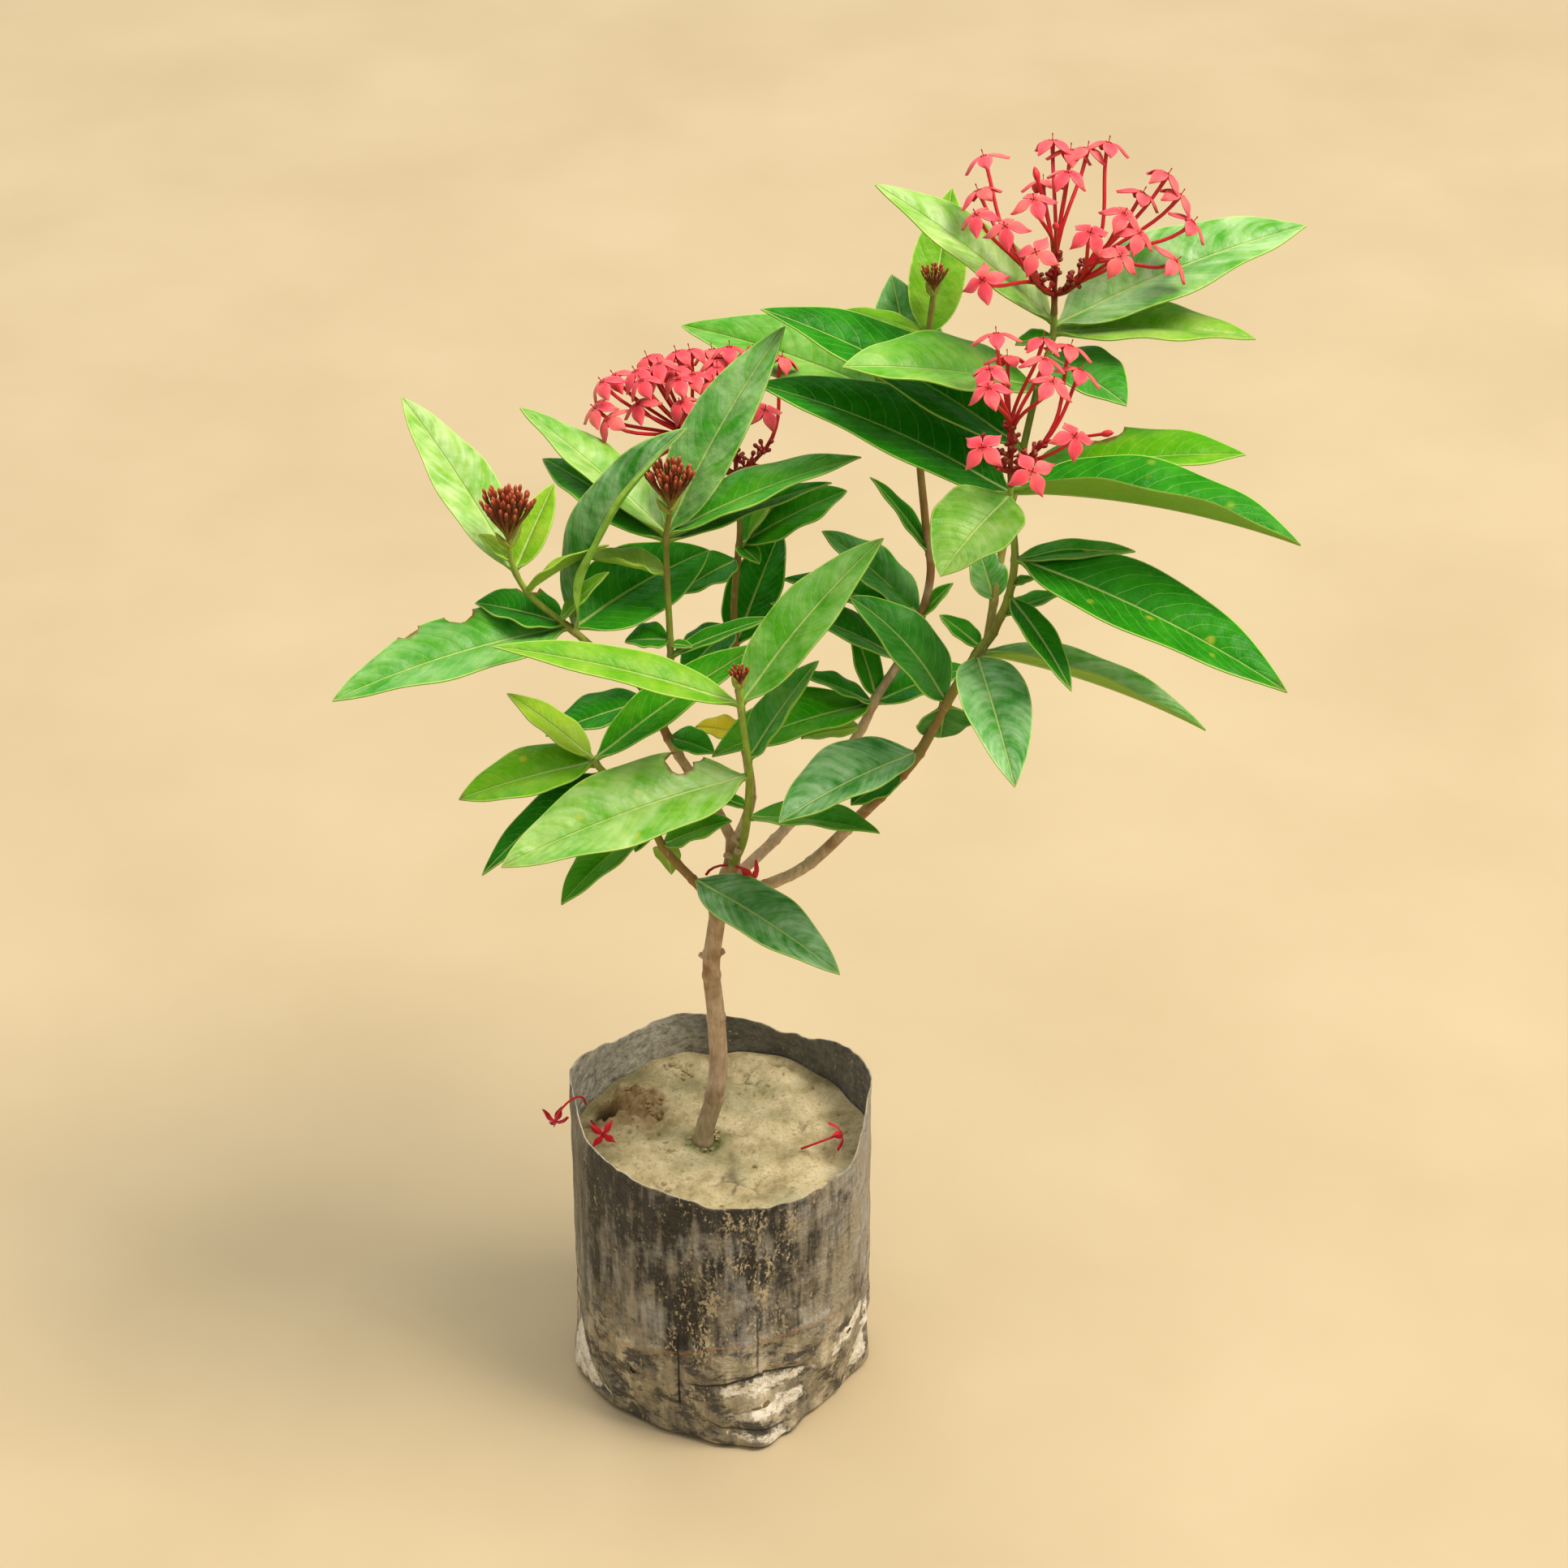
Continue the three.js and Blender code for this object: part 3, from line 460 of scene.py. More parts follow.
# Painted sheen: the light's pale reflection on the wax, with some dust, painted into the colour.
# It lies in long patches that follow the side veins, differs on the two halves of a blade, and is
# painted brighter on one flank of each swelling.
patch_along = add(tree, "Math", {0: count, 1: 0.42}, operation="MULTIPLY")
patch_out = add(tree, "Math", {0: side_step, 1: 5.0, 2: share}, operation="MULTIPLY_ADD")
patch_leaf = add(tree, "Math", {0: tone, 1: 23.0}, operation="MULTIPLY")
patches = add(tree, "CombineXYZ", {0: patch_along, 1: patch_out, 2: patch_leaf})
patches = add(tree, "TexNoise", {"Vector": patches, "Scale": 1.1, "Detail": 4,
                                 "Roughness": 0.55})
patches = add(tree, "Math", {0: patches, 1: blotch}, operation="ADD")
dust_and_sheen_patches = add(tree, "MapRange", {"Value": patches, "From Min": 0.76, "From Max": 1.24,
                                      "To Min": 0.08, "To Max": 0.84})
# Painted glint: one flank of each swelling is painted lighter, as if it caught the light.
lit_flank = add(tree, "Math", {0: count, 1: math.pi}, operation="MULTIPLY")
lit_flank = add(tree, "Math", {0: lit_flank}, operation="SINE")
lit_flank = add(tree, "Math", {0: lit_flank, 1: 0.1, 2: 0.88}, operation="MULTIPLY_ADD")
dust_and_sheen_share = add(tree, "Math", {0: dust_and_sheen, 1: 0.025}, operation="MAXIMUM")
dust_and_sheen_share = add(tree, "Math", {0: dust_and_sheen_share, 1: dust_and_sheen_patches}, operation="MULTIPLY")
dust_and_sheen_share = add(tree, "Math", {0: dust_and_sheen_share, 1: lit_flank}, operation="MULTIPLY")
shine = add(tree, "Math", {0: dust_and_sheen_share, 1: 0.9, 2: 0.07}, operation="MULTIPLY_ADD")
tree.links.new(shine, shader.inputs["Specular IOR Level"])
green_with_dust_and_sheen = add(tree, MIX, {FACTOR: dust_and_sheen_share, A: green, B: "#adb8a0"}, out=MIXED,
            data_type="RGBA", blend_type="SCREEN")
# Side veins, the net and last the midrib, each as strong as it shows. The midrib's share is
# used once more below, where it stands out of the underside.
upper = green_with_dust_and_sheen
for line, strength, hue in ((vein, 0.26, "#b4cf78"), (net, 0.025, "#a8c86a"),
                            (rib, 0.62, "#bcd37c")):
    line_share = add(tree, "Math", {0: line, 1: strength}, operation="MULTIPLY")
    upper = add(tree, MIX, {FACTOR: line_share, A: upper, B: hue}, out=MIXED,
                data_type="RGBA")
# The rim of the blade is a thin, paler line of about half a millimetre.
left_over = add(tree, "Math", {0: half, 1: reach}, operation="SUBTRACT")
rim = add(tree, "MapRange", {"Value": left_over, "From Min": 0.25, "From Max": 0.9,
                             "To Min": 0.75, "To Max": 0})
upper = add(tree, MIX, {FACTOR: rim, A: upper, B: "#b4d264"}, out=MIXED, data_type="RGBA")
# Underside: dull and paler, with the rib standing out.
below = add(tree, MIX, {FACTOR: 0.65, A: green, B: "#9fbf4c"}, out=MIXED, data_type="RGBA")
below = add(tree, MIX, {FACTOR: line_share, A: below, B: "#c3d387"}, out=MIXED,
            data_type="RGBA")
blade_colour = add(tree, MIX, {FACTOR: under, A: upper, B: below}, out=MIXED,
                   data_type="RGBA")
# Age marks: yellow flecks a few millimetres across, and a brown dried tip.
cells = add(tree, "TexVoronoi", {"Vector": spot3d, "Scale": apart(9.1)})
lucky = add(tree, "TexVoronoi", {"Vector": spot3d, "Scale": apart(9.1)}, out=1)
lucky = add(tree, "SeparateColor", {0: lucky}, out=0)
chosen = add(tree, "Math", {0: lucky, 1: 0.8}, operation="GREATER_THAN")
fleck = add(tree, "MapRange", {"Value": cells, "From Min": 0.12, "From Max": 0.3,
                               "To Min": 1, "To Max": 0})
fleck = add(tree, "Math", {0: fleck, 1: chosen}, operation="MULTIPLY")
fleck = add(tree, "Math", {0: fleck, 1: spots}, operation="MULTIPLY", use_clamp=True)
tip = add(tree, "MapRange", {"Value": along, "From Min": 0.93, "From Max": 0.985,
                             "To Min": 0, "To Max": 1})
tip = add(tree, "Math", {0: tip, 1: spots}, operation="MULTIPLY", use_clamp=True)
tip = add(tree, "Math", {0: tip, 1: 0.8}, operation="MULTIPLY")
for mark, hue in ((fleck, "#c8b23c"), (tip, "#7a5a2c"), (scorch, "#7a5424")):
    blade_colour = add(tree, MIX, {FACTOR: mark, A: blade_colour, B: hue}, out=MIXED,
                       data_type="RGBA")
tree.links.new(blade_colour, shader.inputs["Base Color"])
print("leaf colours:", len(tree.nodes), "nodes so far")

# %% [markdown]
# ### Leaf gloss and relief
# The wax is what makes a leaf look wet. It is duller below and under dust. The fine relief is a
# Bump, because veins sunk by a tenth of a millimetre need no geometry.

# %% Leaf gloss and relief
gloss = add(tree, "MapRange", {"Value": blotch, "From Min": 0.3, "From Max": 0.7,
                               "To Min": 0.24, "To Max": 0.36})
gloss = add(tree, "Math", {0: dust_and_sheen, 1: 0.14, 2: gloss}, operation="MULTIPLY_ADD")
gloss = add(tree, "Math", {0: under, 1: 0.3, 2: gloss}, operation="MULTIPLY_ADD")
tree.links.new(gloss, shader.inputs["Roughness"])
# Relief: veins are sunk above and stand out below; the blade between them swells.
quilt = add(tree, "MapRange", {"Value": wave, "From Min": 0.0, "From Max": 0.5,
                               "To Min": 0, "To Max": 1}, interpolation_type="SMOOTHSTEP")
quilt = add(tree, "Math", {0: quilt, 1: 0.2}, operation="MULTIPLY")
relief = add(tree, "Math", {0: rib, 1: -1.2, 2: quilt}, operation="MULTIPLY_ADD")
relief = add(tree, "Math", {0: net, 1: -0.12, 2: relief}, operation="MULTIPLY_ADD")
pores = add(tree, "TexNoise", {"Vector": spot3d, "Scale": apart(1.111), "Detail": 2})
relief = add(tree, "Math", {0: pores, 1: 0.18, 2: relief}, operation="MULTIPLY_ADD")
lump = add(tree, "TexNoise", {"Vector": spot3d, "Scale": apart(13.3), "Detail": 2.5})
relief = add(tree, "Math", {0: lump, 1: 7.0, 2: relief}, operation="MULTIPLY_ADD")
bump = add(tree, "Bump", {"Height": relief, "Strength": 0.6, "Distance": 0.0006})
tree.links.new(bump, shader.inputs["Normal"])
print("leaf finish:", len(tree.nodes), "nodes")

# %% [markdown]
# ## The outline of a leaf
# An ixora blade has a short stalk, its widest part past the middle, and a drawn-out point. The
# half width is a short table of measured places with a smooth curve through it. That is easier to
# correct by eye than a formula.

# %% Outline of a leaf
COLUMNS = [-1, -0.95, -0.82, -0.62, -0.42, -0.22, -0.07, 0,
           0.07, 0.22, 0.42, 0.62, 0.82, 0.95, 1]
ROWS = 34
BLADE = 0.7                       # thickness
STALK = 1.1                       # half width of the leaf stalk
OUTLINE = [(0, 0.06), (0.04, 0.1), (0.08, 0.36), (0.14, 0.64), (0.22, 0.85), (0.32, 0.97),
           (0.43, 1), (0.56, 0.95), (0.7, 0.77), (0.82, 0.54), (0.91, 0.31), (0.97, 0.12),
           (1, 0.01)]


def from_table(table, x):
    """A smooth value read from a table of (place, value)."""
    k = 0
    while k < len(table) - 2 and x > table[k + 1][0]:
        k += 1
    (x1, y1), (x2, y2) = table[k], table[k + 1]
    x0, y0 = table[k - 1] if k > 0 else (2 * x1 - x2, y1)
    x3, y3 = table[k + 2] if k + 2 < len(table) else (2 * x2 - x1, y2)
    t, span = (x - x1) / (x2 - x1), x2 - x1
    m1, m2 = (y2 - y0) / (x2 - x0) * span, (y3 - y1) / (x3 - x1) * span
    return ((2 * t ** 3 - 3 * t ** 2 + 1) * y1 + (t ** 3 - 2 * t ** 2 + t) * m1
            + (-2 * t ** 3 + 3 * t ** 2) * y2 + (t ** 3 - t ** 2) * m2)


def smooth(x, low, high):
    t = min(max((x - low) / (high - low), 0), 1)
    return t * t * (3 - 2 * t)


def direction(heading, rise):
    heading, rise = math.radians(heading), math.radians(rise)
    return Vector((math.cos(heading) * math.cos(rise), math.sin(heading) * math.cos(rise),
                   math.sin(rise)))


def half_width(width, b):
    return max(width / 2 * from_table(OUTLINE, b), STALK * smooth(1 - b, 0.02, 0.5))


print("half width of a 40 mm leaf:", [round(half_width(40, k / 5), 1) for k in range(6)])

# %% [markdown]
# ## Cutting a bite
# Insects chew round holes with uneven edges. A hole is cut while the sheet is flat, with one
# plane for each side of a many-sided ring. The Boolean modifier could cut it too, but it would
# leave long thin triangles, which crease when the leaf is bent.

# %% Bites
BITE_SIDES = 11


def faces_at(points):
    """The faces at these points, each once and always in the same order."""
    return list(dict.fromkeys(f for v in points for f in v.link_faces))


def cut_bite(bm, faces, centre, radius, rng):
    """Cuts a chewed hole out of the flat sheet, with an uneven many-sided edge."""
    turn = rng.random()
    planes = []
    for k in range(BITE_SIDES):
        angle = 2 * math.pi * (k + turn) / BITE_SIDES
        out = Vector((math.cos(angle), math.sin(angle), 0))
        planes.append((centre + out * radius * rng.uniform(0.8, 1.08), out))
    near = [f for f in faces if (f.calc_center_median() - centre).length < 2.2 * radius + 4]
    for spot, out in planes:
        geom = dict.fromkeys(e for f in near for e in (f, *f.edges, *f.verts))
        made = bmesh.ops.bisect_plane(bm, geom=list(geom), plane_co=spot, plane_no=out,
                                      dist=1e-4)
        near = [g for g in made["geom"] if isinstance(g, bmesh.types.BMFace)]
    gone = [f for f in near if all((f.calc_center_median() - spot).dot(out) < 0
                                   for spot, out in planes)]
    bmesh.ops.delete(bm, geom=gone, context="FACES")


print("bites have", BITE_SIDES, "sides")

# %% [markdown]
# ## Making a leaf
# A leaf starts as a flat grid, which is drawn in to the outline and bitten. Then the sheet is
# extruded into a thin slab, and each of its points is carried to its place along the leaf's
# drooping line. The place across gets the fold along the midrib, the swelling between midrib and
# edge, the ripple of the edge, and the roll of an edge that has curled over.

# %% Leaf maker
LINE_STEPS = 40                   # straight steps in a leaf's line
SWEEP = 4                         # degrees that a leaf may bend sideways
RIPPLES = 2.6                     # ripples along each edge
SWELL = 0.34                      # height of the swelling, as a share of the half width


def flat_blade(bm, length, width, bites, rng):
    """A flat blade with its bites, extruded. Returns its points, and those on top."""
    before = set(bm.verts)
    sheet = bmesh.ops.create_grid(bm, x_segments=len(COLUMNS) - 1, y_segments=ROWS, size=0.5)
    for v in sheet["verts"]:
        column = round((v.co.x + 0.5) * (len(COLUMNS) - 1))
        b = v.co.y + 0.5
        v.co = Vector((COLUMNS[column] * half_width(width, b), b * length, 0))
    faces = faces_at(sheet["verts"])
    for along, side, radius in bites:
        cut_bite(bm, faces, Vector((side * width / 2, along * length, 0)), radius, rng)
        faces = faces_at(v for v in bm.verts if v not in before)
    made = bmesh.ops.extrude_face_region(bm, geom=faces)
    top = {g for g in made["geom"] if isinstance(g, bmesh.types.BMVert)}
    return [v for v in bm.verts if v not in before], top


def leaf_line(spot, heading, rise, length, droop):
    """Points and directions along the middle of a leaf, which droops and sweeps a little."""
    sweep = SWEEP * math.sin(math.radians(7 * heading))
    line = [(spot.copy(), direction(heading - sweep / 2, rise + droop / 2))]
    for k in range(1, LINE_STEPS + 1):
        s = k / LINE_STEPS
        way = direction(heading + sweep * (s - 0.5), rise + droop * (0.5 - s))
        spot = spot + way * length / LINE_STEPS
        line.append((spot.copy(), way))
    return line


def chewed(x, y, length, width, bites):
    """1 on the brown edge of a bite, and 0 away from it."""
    rims = [(Vector((c * width / 2, a * length)) - Vector((x, y))).length - r
            for a, c, r in bites]
    return max([0] + [1 - smooth(rim, 0.1, 1.3) for rim in rims])


def grow_leaf(bm, stem, row, curl, rng):
    at, heading, rise, length, width, droop, roll, keel, tone, dust_and_sheen, spots = row[:11]
    keel, bites = math.radians(keel), row[11:]
    curl_side, curl_share, curl_turn = curl
    points, top = flat_blade(bm, length, width, bites, rng)
    line = leaf_line(on_stem(stem, at)[0], heading, rise, length, droop)
    twist, phase, ripple = rng.uniform(-7, 7), rng.random(), rng.uniform(0.5, 1.3)
    blade_map, look_map = [bm.verts.layers.float_vector[key] for key in ("blade", "look")]
    scorch_map = bm.verts.layers.float["scorch"]
    for v in points:
        x, b = v.co.x, v.co.y / length
        k = min(int(b * LINE_STEPS), LINE_STEPS - 1)
        point = line[k][0].lerp(line[k + 1][0], b * LINE_STEPS - k)
        way = line[k][1].lerp(line[k + 1][1], b * LINE_STEPS - k).normalized()
        side = way.cross(UP).normalized()
        turn = Quaternion(way, math.radians(roll + twist * (b - 0.4)))
        face = turn @ side.cross(way)
        side = turn @ side
        half = half_width(width, b)
        out = min(abs(x) / half, 1)
        swell = SWELL * out * (1 - out) * half * smooth(b, 0.05, 0.3)
        turns = RIPPLES * b + phase + (0.37 if x > 0 else 0)
        wave = ripple * out ** 3 * math.sin(2 * math.pi * turns)
        wave *= smooth(b, 0.1, 0.35) * min(half / 16, 1)
        lift = abs(x) * math.sin(keel) + swell + wave
        thick = BLADE + (2 * STALK - BLADE) * (1 - smooth(b, 0.03, 0.12))
        if v in top:
            skin = thick / 2 - 0.25 * max(0, 1 - abs(x) / 1.5) * smooth(b, 0.08, 0.2)
        else:
            skin = -thick / 2 - 0.8 * (1 - 0.8 * b) * max(0, 1 - abs(x) / 1.6)
        flat, turned = x * math.cos(keel), 0
        start = half * (1 - curl_share)
        if curl_turn and x * curl_side > start:
            full = math.radians(curl_turn) * smooth(b, 0.08, 0.3) * (1 - smooth(b, 0.85, 1))
            if full > 0.01:
                radius = (half - start) / full
                turned = (x * curl_side - start) / radius
                flat = curl_side * (start + radius * math.sin(turned)) * math.cos(keel)
                lift += radius * (1 - math.cos(turned))
                lift -= (x * curl_side - start - radius * math.sin(turned)) * math.sin(keel)
        v[blade_map] = (x, b, half if v in top else -half)
        v[look_map] = (tone, dust_and_sheen, spots)
        v[scorch_map] = chewed(x, b * length, length, width, bites)
        normal = face * math.cos(turned) - side * curl_side * math.sin(turned)
        v.co = point + side * flat + face * lift + normal * skin


print("points in a leaf before bites:", 2 * len(COLUMNS) * (ROWS + 1))

# %% [markdown]
# ## Making a stalk
# Stems, tubes, pedicels and buds are all round and slender, so one maker serves them all. It
# starts from a small disc, and extrudes and re-shapes it from ring to ring. Each ring is carried
# on from the last one without turning it, so the skin never twists.

# %% Stalk maker
def grow_stalk(bm, spots, radii, sides, marks):
    """A closed round stalk through spots. marks are what its map holds at each ring."""
    layer = bm.verts.layers.float_vector["stalk"]
    disc = bmesh.ops.create_circle(bm, cap_ends=True, segments=sides, radius=1)
    ring, face = disc["verts"], disc["verts"][0].link_faces[0]
    frame_now = Matrix.Identity(4)
    side = None
    for k, spot in enumerate(spots):
        way = (spots[min(k + 1, len(spots) - 1)] - spots[max(k - 1, 0)]).normalized()
        guide = side or (Vector((0, 1, 0)) if abs(way.y) < 0.9 else UP)
        side = (guide - way * guide.dot(way)).normalized()
        rise = way.cross(side)
        wanted = Matrix((side * radii[k], rise * radii[k], way)).transposed().to_4x4()
        wanted.translation = spot
        if k > 0:
            made = bmesh.ops.extrude_face_region(bm, geom=[face])
            ring = [g for g in made["geom"] if isinstance(g, bmesh.types.BMVert)]
            if k > 1:
                bmesh.ops.delete(bm, geom=[face], context="FACES_ONLY")
            face = next(g for g in made["geom"] if isinstance(g, bmesh.types.BMFace))
        bmesh.ops.transform(bm, matrix=wanted @ frame_now.inverted(), verts=ring)
        frame_now = wanted
        for v in ring:
            v[layer] = marks[k]


def shades(*values):
    """What a stalk's map holds from ring to ring, where only its first number is used."""
    return [(value, 0, 0) for value in values]


print("stalk maker ready; a map of two rings:", shades(0, 1))

# %% [markdown]
# ## Starting and finishing a piece
# Every piece is built in millimetres with one or more named maps, which its finish reads. At the
# end its faces are turned outwards, it is scaled to metres, it is given its finish and its body,
# and the CAD nodes that it replaces are hidden. An edge that doesn't have two faces is a hole, so
# those are counted.

# %% Starting and finishing a piece
def new_mesh(*maps):
    """A mesh in the making, with a map of three numbers a point for each name."""
    bm = bmesh.new()
    for name in maps:
        bm.verts.layers.float_vector.new(name)
    return bm


def finish_piece(bm, name, finish, slot, *nodes):
    """Closes a piece: outward faces, metres, smooth shading, finish, body and CAD nodes."""
    bmesh.ops.recalc_face_normals(bm, faces=bm.faces)
    bmesh.ops.scale(bm, vec=(MM, MM, MM), verts=bm.verts)
    gaps = sum(1 for e in bm.edges if len(e.link_faces) != 2)
    mesh = bpy.data.meshes.new(name)
    bm.to_mesh(mesh)
    bm.free()
    mesh.shade_smooth()
    mesh.set_sharp_from_angle(angle=math.radians(50))
    mesh.materials.append(finish)
    piece = bpy.data.objects.new(name, mesh)
    bpy.context.scene.collection.objects.link(piece)
    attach(piece, "root")
    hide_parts(*nodes)
    mesh.calc_loop_triangles()
    print(name, len(mesh.loop_triangles), "triangles,", gaps, "open edges")


# %% [markdown]
# ## Leaves
# Every shoot's leaves are one piece, grown from the plan with one seeded source of chance each,
# so the same ripple falls on the same leaf every time.

# %% Leaves
for name, rows in LEAVES.items():
    bm = new_mesh("blade", "look")
    bm.verts.layers.float.new("scorch")
    rng = random.Random(name)
    for k, row in enumerate(rows):
        grow_leaf(bm, name, row, CURLS.get((name, k), (1, 0, 0)), rng)
    finish_piece(bm, f"leaves_{name}", leaf_finish, "leaf", f"shoot_{name}")

# %% [markdown]
# ## Stem and bark finish
# Young ixora stems are green and smooth. With age a thin cork forms, first olive and then grey
# brown with pale breathing pores, and it cracks along the stem. The greenness is painted into the
# stems' own map, so one finish serves them all, and soil splash and moss colour the lowest part.

# %% Stem finish
stem_finish, tree, shader = start_finish("stem_bark", IOR=1.4, Specular_IOR_Level=0.35)
stalk_map = add(tree, "Attribute", out=1, attribute_name="stalk")
knot, green_share = [add(tree, "SeparateXYZ", {0: stalk_map}, out=k) for k in (1, 2)]
spot3d = add(tree, "TexCoord", out=OBJECT)
stretched = add(tree, "Mapping", {0: spot3d, 3: (1, 1, 0.28)})
grain = add(tree, "TexNoise", {"Vector": stretched, "Scale": apart(2.38), "Detail": 5,
                               "Roughness": 0.65})
patch = add(tree, "TexNoise", {"Vector": spot3d, "Scale": apart(11.1), "Detail": 3})
mixed = add(tree, "MapRange", {"Value": patch, "From Min": 0.3, "From Max": 0.7,
                               "To Min": -0.12, "To Max": 0.12})
age = add(tree, "Math", {0: green_share, 1: mixed}, operation="ADD")
bark = add(tree, "ValToRGB", {0: age}, stops=[
    (0.0, "#dac0a0"), (1.0, "#a3bf45"), (0.22, "#a2764c"), (0.45, "#968640"), (0.7, "#8ca43a")])
# Dark cracks, pale pores, the corky ring of each knot, and moss at the trunk's foot.
dark = add(tree, "MapRange", {"Value": grain, "From Min": 0.35, "From Max": 0.65,
                              "To Min": 0.42, "To Max": 0})
pores = add(tree, "TexVoronoi", {"Vector": stretched, "Scale": apart(3.03)})
pore = add(tree, "MapRange", {"Value": pores, "From Min": 0.12, "From Max": 0.22,
                              "To Min": 0.5, "To Max": 0})
ring = add(tree, "MapRange", {"Value": knot, "From Min": 0.1, "From Max": 0.3,
                              "To Min": 0, "To Max": 0.45})
height = add(tree, "SeparateXYZ", {0: spot3d}, out=2)
foot = add(tree, "MapRange", {"Value": height, "From Min": 0.15, "From Max": 0.185,
                              "To Min": 0.8, "To Max": 0})
foot = add(tree, "Math", {0: foot, 1: patch}, operation="MULTIPLY")
for mark, hue in ((dark, "#66503a"), (pore, "#b7a88c"), (ring, "#a08c62"), (foot, "#5f6b35")):
    bark = add(tree, MIX, {FACTOR: mark, A: bark, B: hue}, out=MIXED, data_type="RGBA")
tree.links.new(bark, shader.inputs["Base Color"])
dullness = add(tree, "MapRange", {"Value": age, "From Min": 0.1, "From Max": 0.8,
                                  "To Min": 0.85, "To Max": 0.45})
tree.links.new(dullness, shader.inputs["Roughness"])
relief = add(tree, "Math", {0: pore, 1: 0.8, 2: grain}, operation="MULTIPLY_ADD")
bump = add(tree, "Bump", {"Height": relief, "Strength": 0.6, "Distance": 0.0006})
tree.links.new(bump, shader.inputs["Normal"])
print("stem finish:", len(tree.nodes), "nodes")

# %% [markdown]
# ## Trunk and stems
# The stems swell a little where leaves sit or once sat, which gives an ixora its jointed look.
# So the radius is not only a taper: each leaf's place adds a small knot. The woody stems also have
# old leaf scars every few centimetres, and eight snapped twigs.

# %% Stem plan
# How green each stem is at its foot and at its tip, where 0 is old bark.
GREENNESS = {"trunk": (0.0, 0.1), "low_left": (0.25, 0.8), "left": (0.1, 0.85),
             "centre": (0.7, 0.5), "back": (0.05, 0.5), "front": (0.75, 1.0),
             "middle": (0.0, 0.5), "right": (0.0, 0.6), "right_front": (0.6, 0.95),
             "right_back": (0.55, 0.8)}
# Old leaf scars, as shares of a stem's length.
SCARS = {"trunk": [0.14, 0.27, 0.38, 0.5, 0.62, 0.68, 0.79, 0.9],
         "right": [0.12, 0.25, 0.38, 0.5], "middle": [0.1, 0.2, 0.28],
         "left": [0.15, 0.27, 0.52, 0.6], "back": [0.15, 0.28, 0.45], "low_left": [0.3, 0.62]}
# Snapped twigs: stem, share, heading, rise, length and radius.
SNAGS = [("trunk", 0.66, 180, 35, 7.5, 1.6), ("trunk", 0.67, 5, 30, 7.5, 1.7),
         ("trunk", 0.9, 60, 60, 12, 1.9), ("right", 0.2, -60, 50, 9, 1.4),
         ("middle", 0.12, 150, 70, 9, 1.4), ("front", 0.07, 195, 25, 6.5, 1.5),
         ("front", 0.12, -100, 30, 6.5, 1.7), ("front", 0.17, 190, 40, 6.5, 1.6)]
KNOT, KNOT_LENGTH, KNOT_MOST = 0.18, 1.3, 0.22      # swelling as a share, mm, and its limit
RING_STEP = 1.8                                     # mm from one ring of a stem to the next
print("scars:", sum(len(scars) for scars in SCARS.values()), "snapped twigs:", len(SNAGS))

# %% [markdown]
# ## Growing the stems
# One function grows any stretch of a stem, so the woody parts go into the trunk's piece and the
# green parts into each shoot's. The trunk's skin is then pushed in and out a little by noise, as
# bark is never quite round.

# %% Trunk and stems
def grow_stem(bm, name, start, end, sides=12):
    (thick, thin), _ = STEMS[name]
    length = ROUTES[name][1]
    low, high = GREENNESS[name]
    knots = [row[0] for row in LEAVES.get(name, [])] + SCARS.get(name, [])
    count = max(2, round(length * (end - start) / RING_STEP))
    spots, radii, marks = [], [], []
    for k in range(count + 1):
        u = start + (end - start) * k / count
        knot = min(sum(KNOT * math.exp(-((u - at) * length / KNOT_LENGTH) ** 2)
                       for at in knots), KNOT_MOST)
        spots.append(on_stem(name, u)[0])
        radii.append((thick + (thin - thick) * u) * (1 + knot))
        marks.append((u * length, knot, low + (high - low) * smooth(u, 0.2, 1.0)))
    grow_stalk(bm, spots, radii, sides, marks)


bm = new_mesh("stalk")
for name, end in WOOD.items():
    grow_stem(bm, name, 0, end, sides=18 if name == "trunk" else 14)
for name, at, heading, rise, length, radius in SNAGS:
    foot, _ = on_stem(name, at)
    way = direction(heading, rise)
    spots = [foot + way * length * s for s in (0, 0.5, 0.62, 0.85, 0.97, 1)]
    radii = [radius * r for r in (1.0, 0.95, 1.15, 1.0, 0.85, 0.3)]
    grow_stalk(bm, spots, radii, 9, [(length * k, 0.0, 0.05) for k in range(6)])
for v in bm.verts:
    v.co += v.co.normalized() * 0.35 * noise.noise(v.co / 3.5)
finish_piece(bm, "woody_trunk", stem_finish, "bark", "trunk")
for name in LEAVES:
    bm = new_mesh("stalk")
    fork = next((share for _, child, share in FORKS if child == name), None)
    grow_stem(bm, name, fork if fork else WOOD[name], 1)
    for parent, child, share in FORKS:
        if parent == name:
            grow_stem(bm, child, 0, share)
    finish_piece(bm, f"stem_{name}", stem_finish, "bark", f"shoot_{name}")

# %% [markdown]
# ## Petal and tube finish
# Ixora petals are thin, matte and slightly translucent: coral pink on the face, paler at the edge
# and red below. They are deep red towards the throat, partly their own colour and partly painted
# shade where the petals meet. The tubes under them are darker and wax smooth, and go on darkening
# down to the branching stalks.

# %% Petal finish
petal_finish, tree, shader = start_finish(
    "coral_petal", IOR=1.4, Specular_IOR_Level=0.3, Roughness=0.55, Subsurface_Weight=0.15,
    Subsurface_Scale=0.003, Sheen_Weight=0.15)
petal_map = add(tree, "Attribute", out=1, attribute_name="petal")
across, along, kind = [add(tree, "SeparateXYZ", {0: petal_map}, out=k) for k in range(3)]
spot3d = add(tree, "TexCoord", out=OBJECT)
edge = add(tree, "Math", {0: across}, operation="ABSOLUTE")
cloud = add(tree, "TexNoise", {"Vector": spot3d, "Scale": apart(3.85), "Detail": 3})
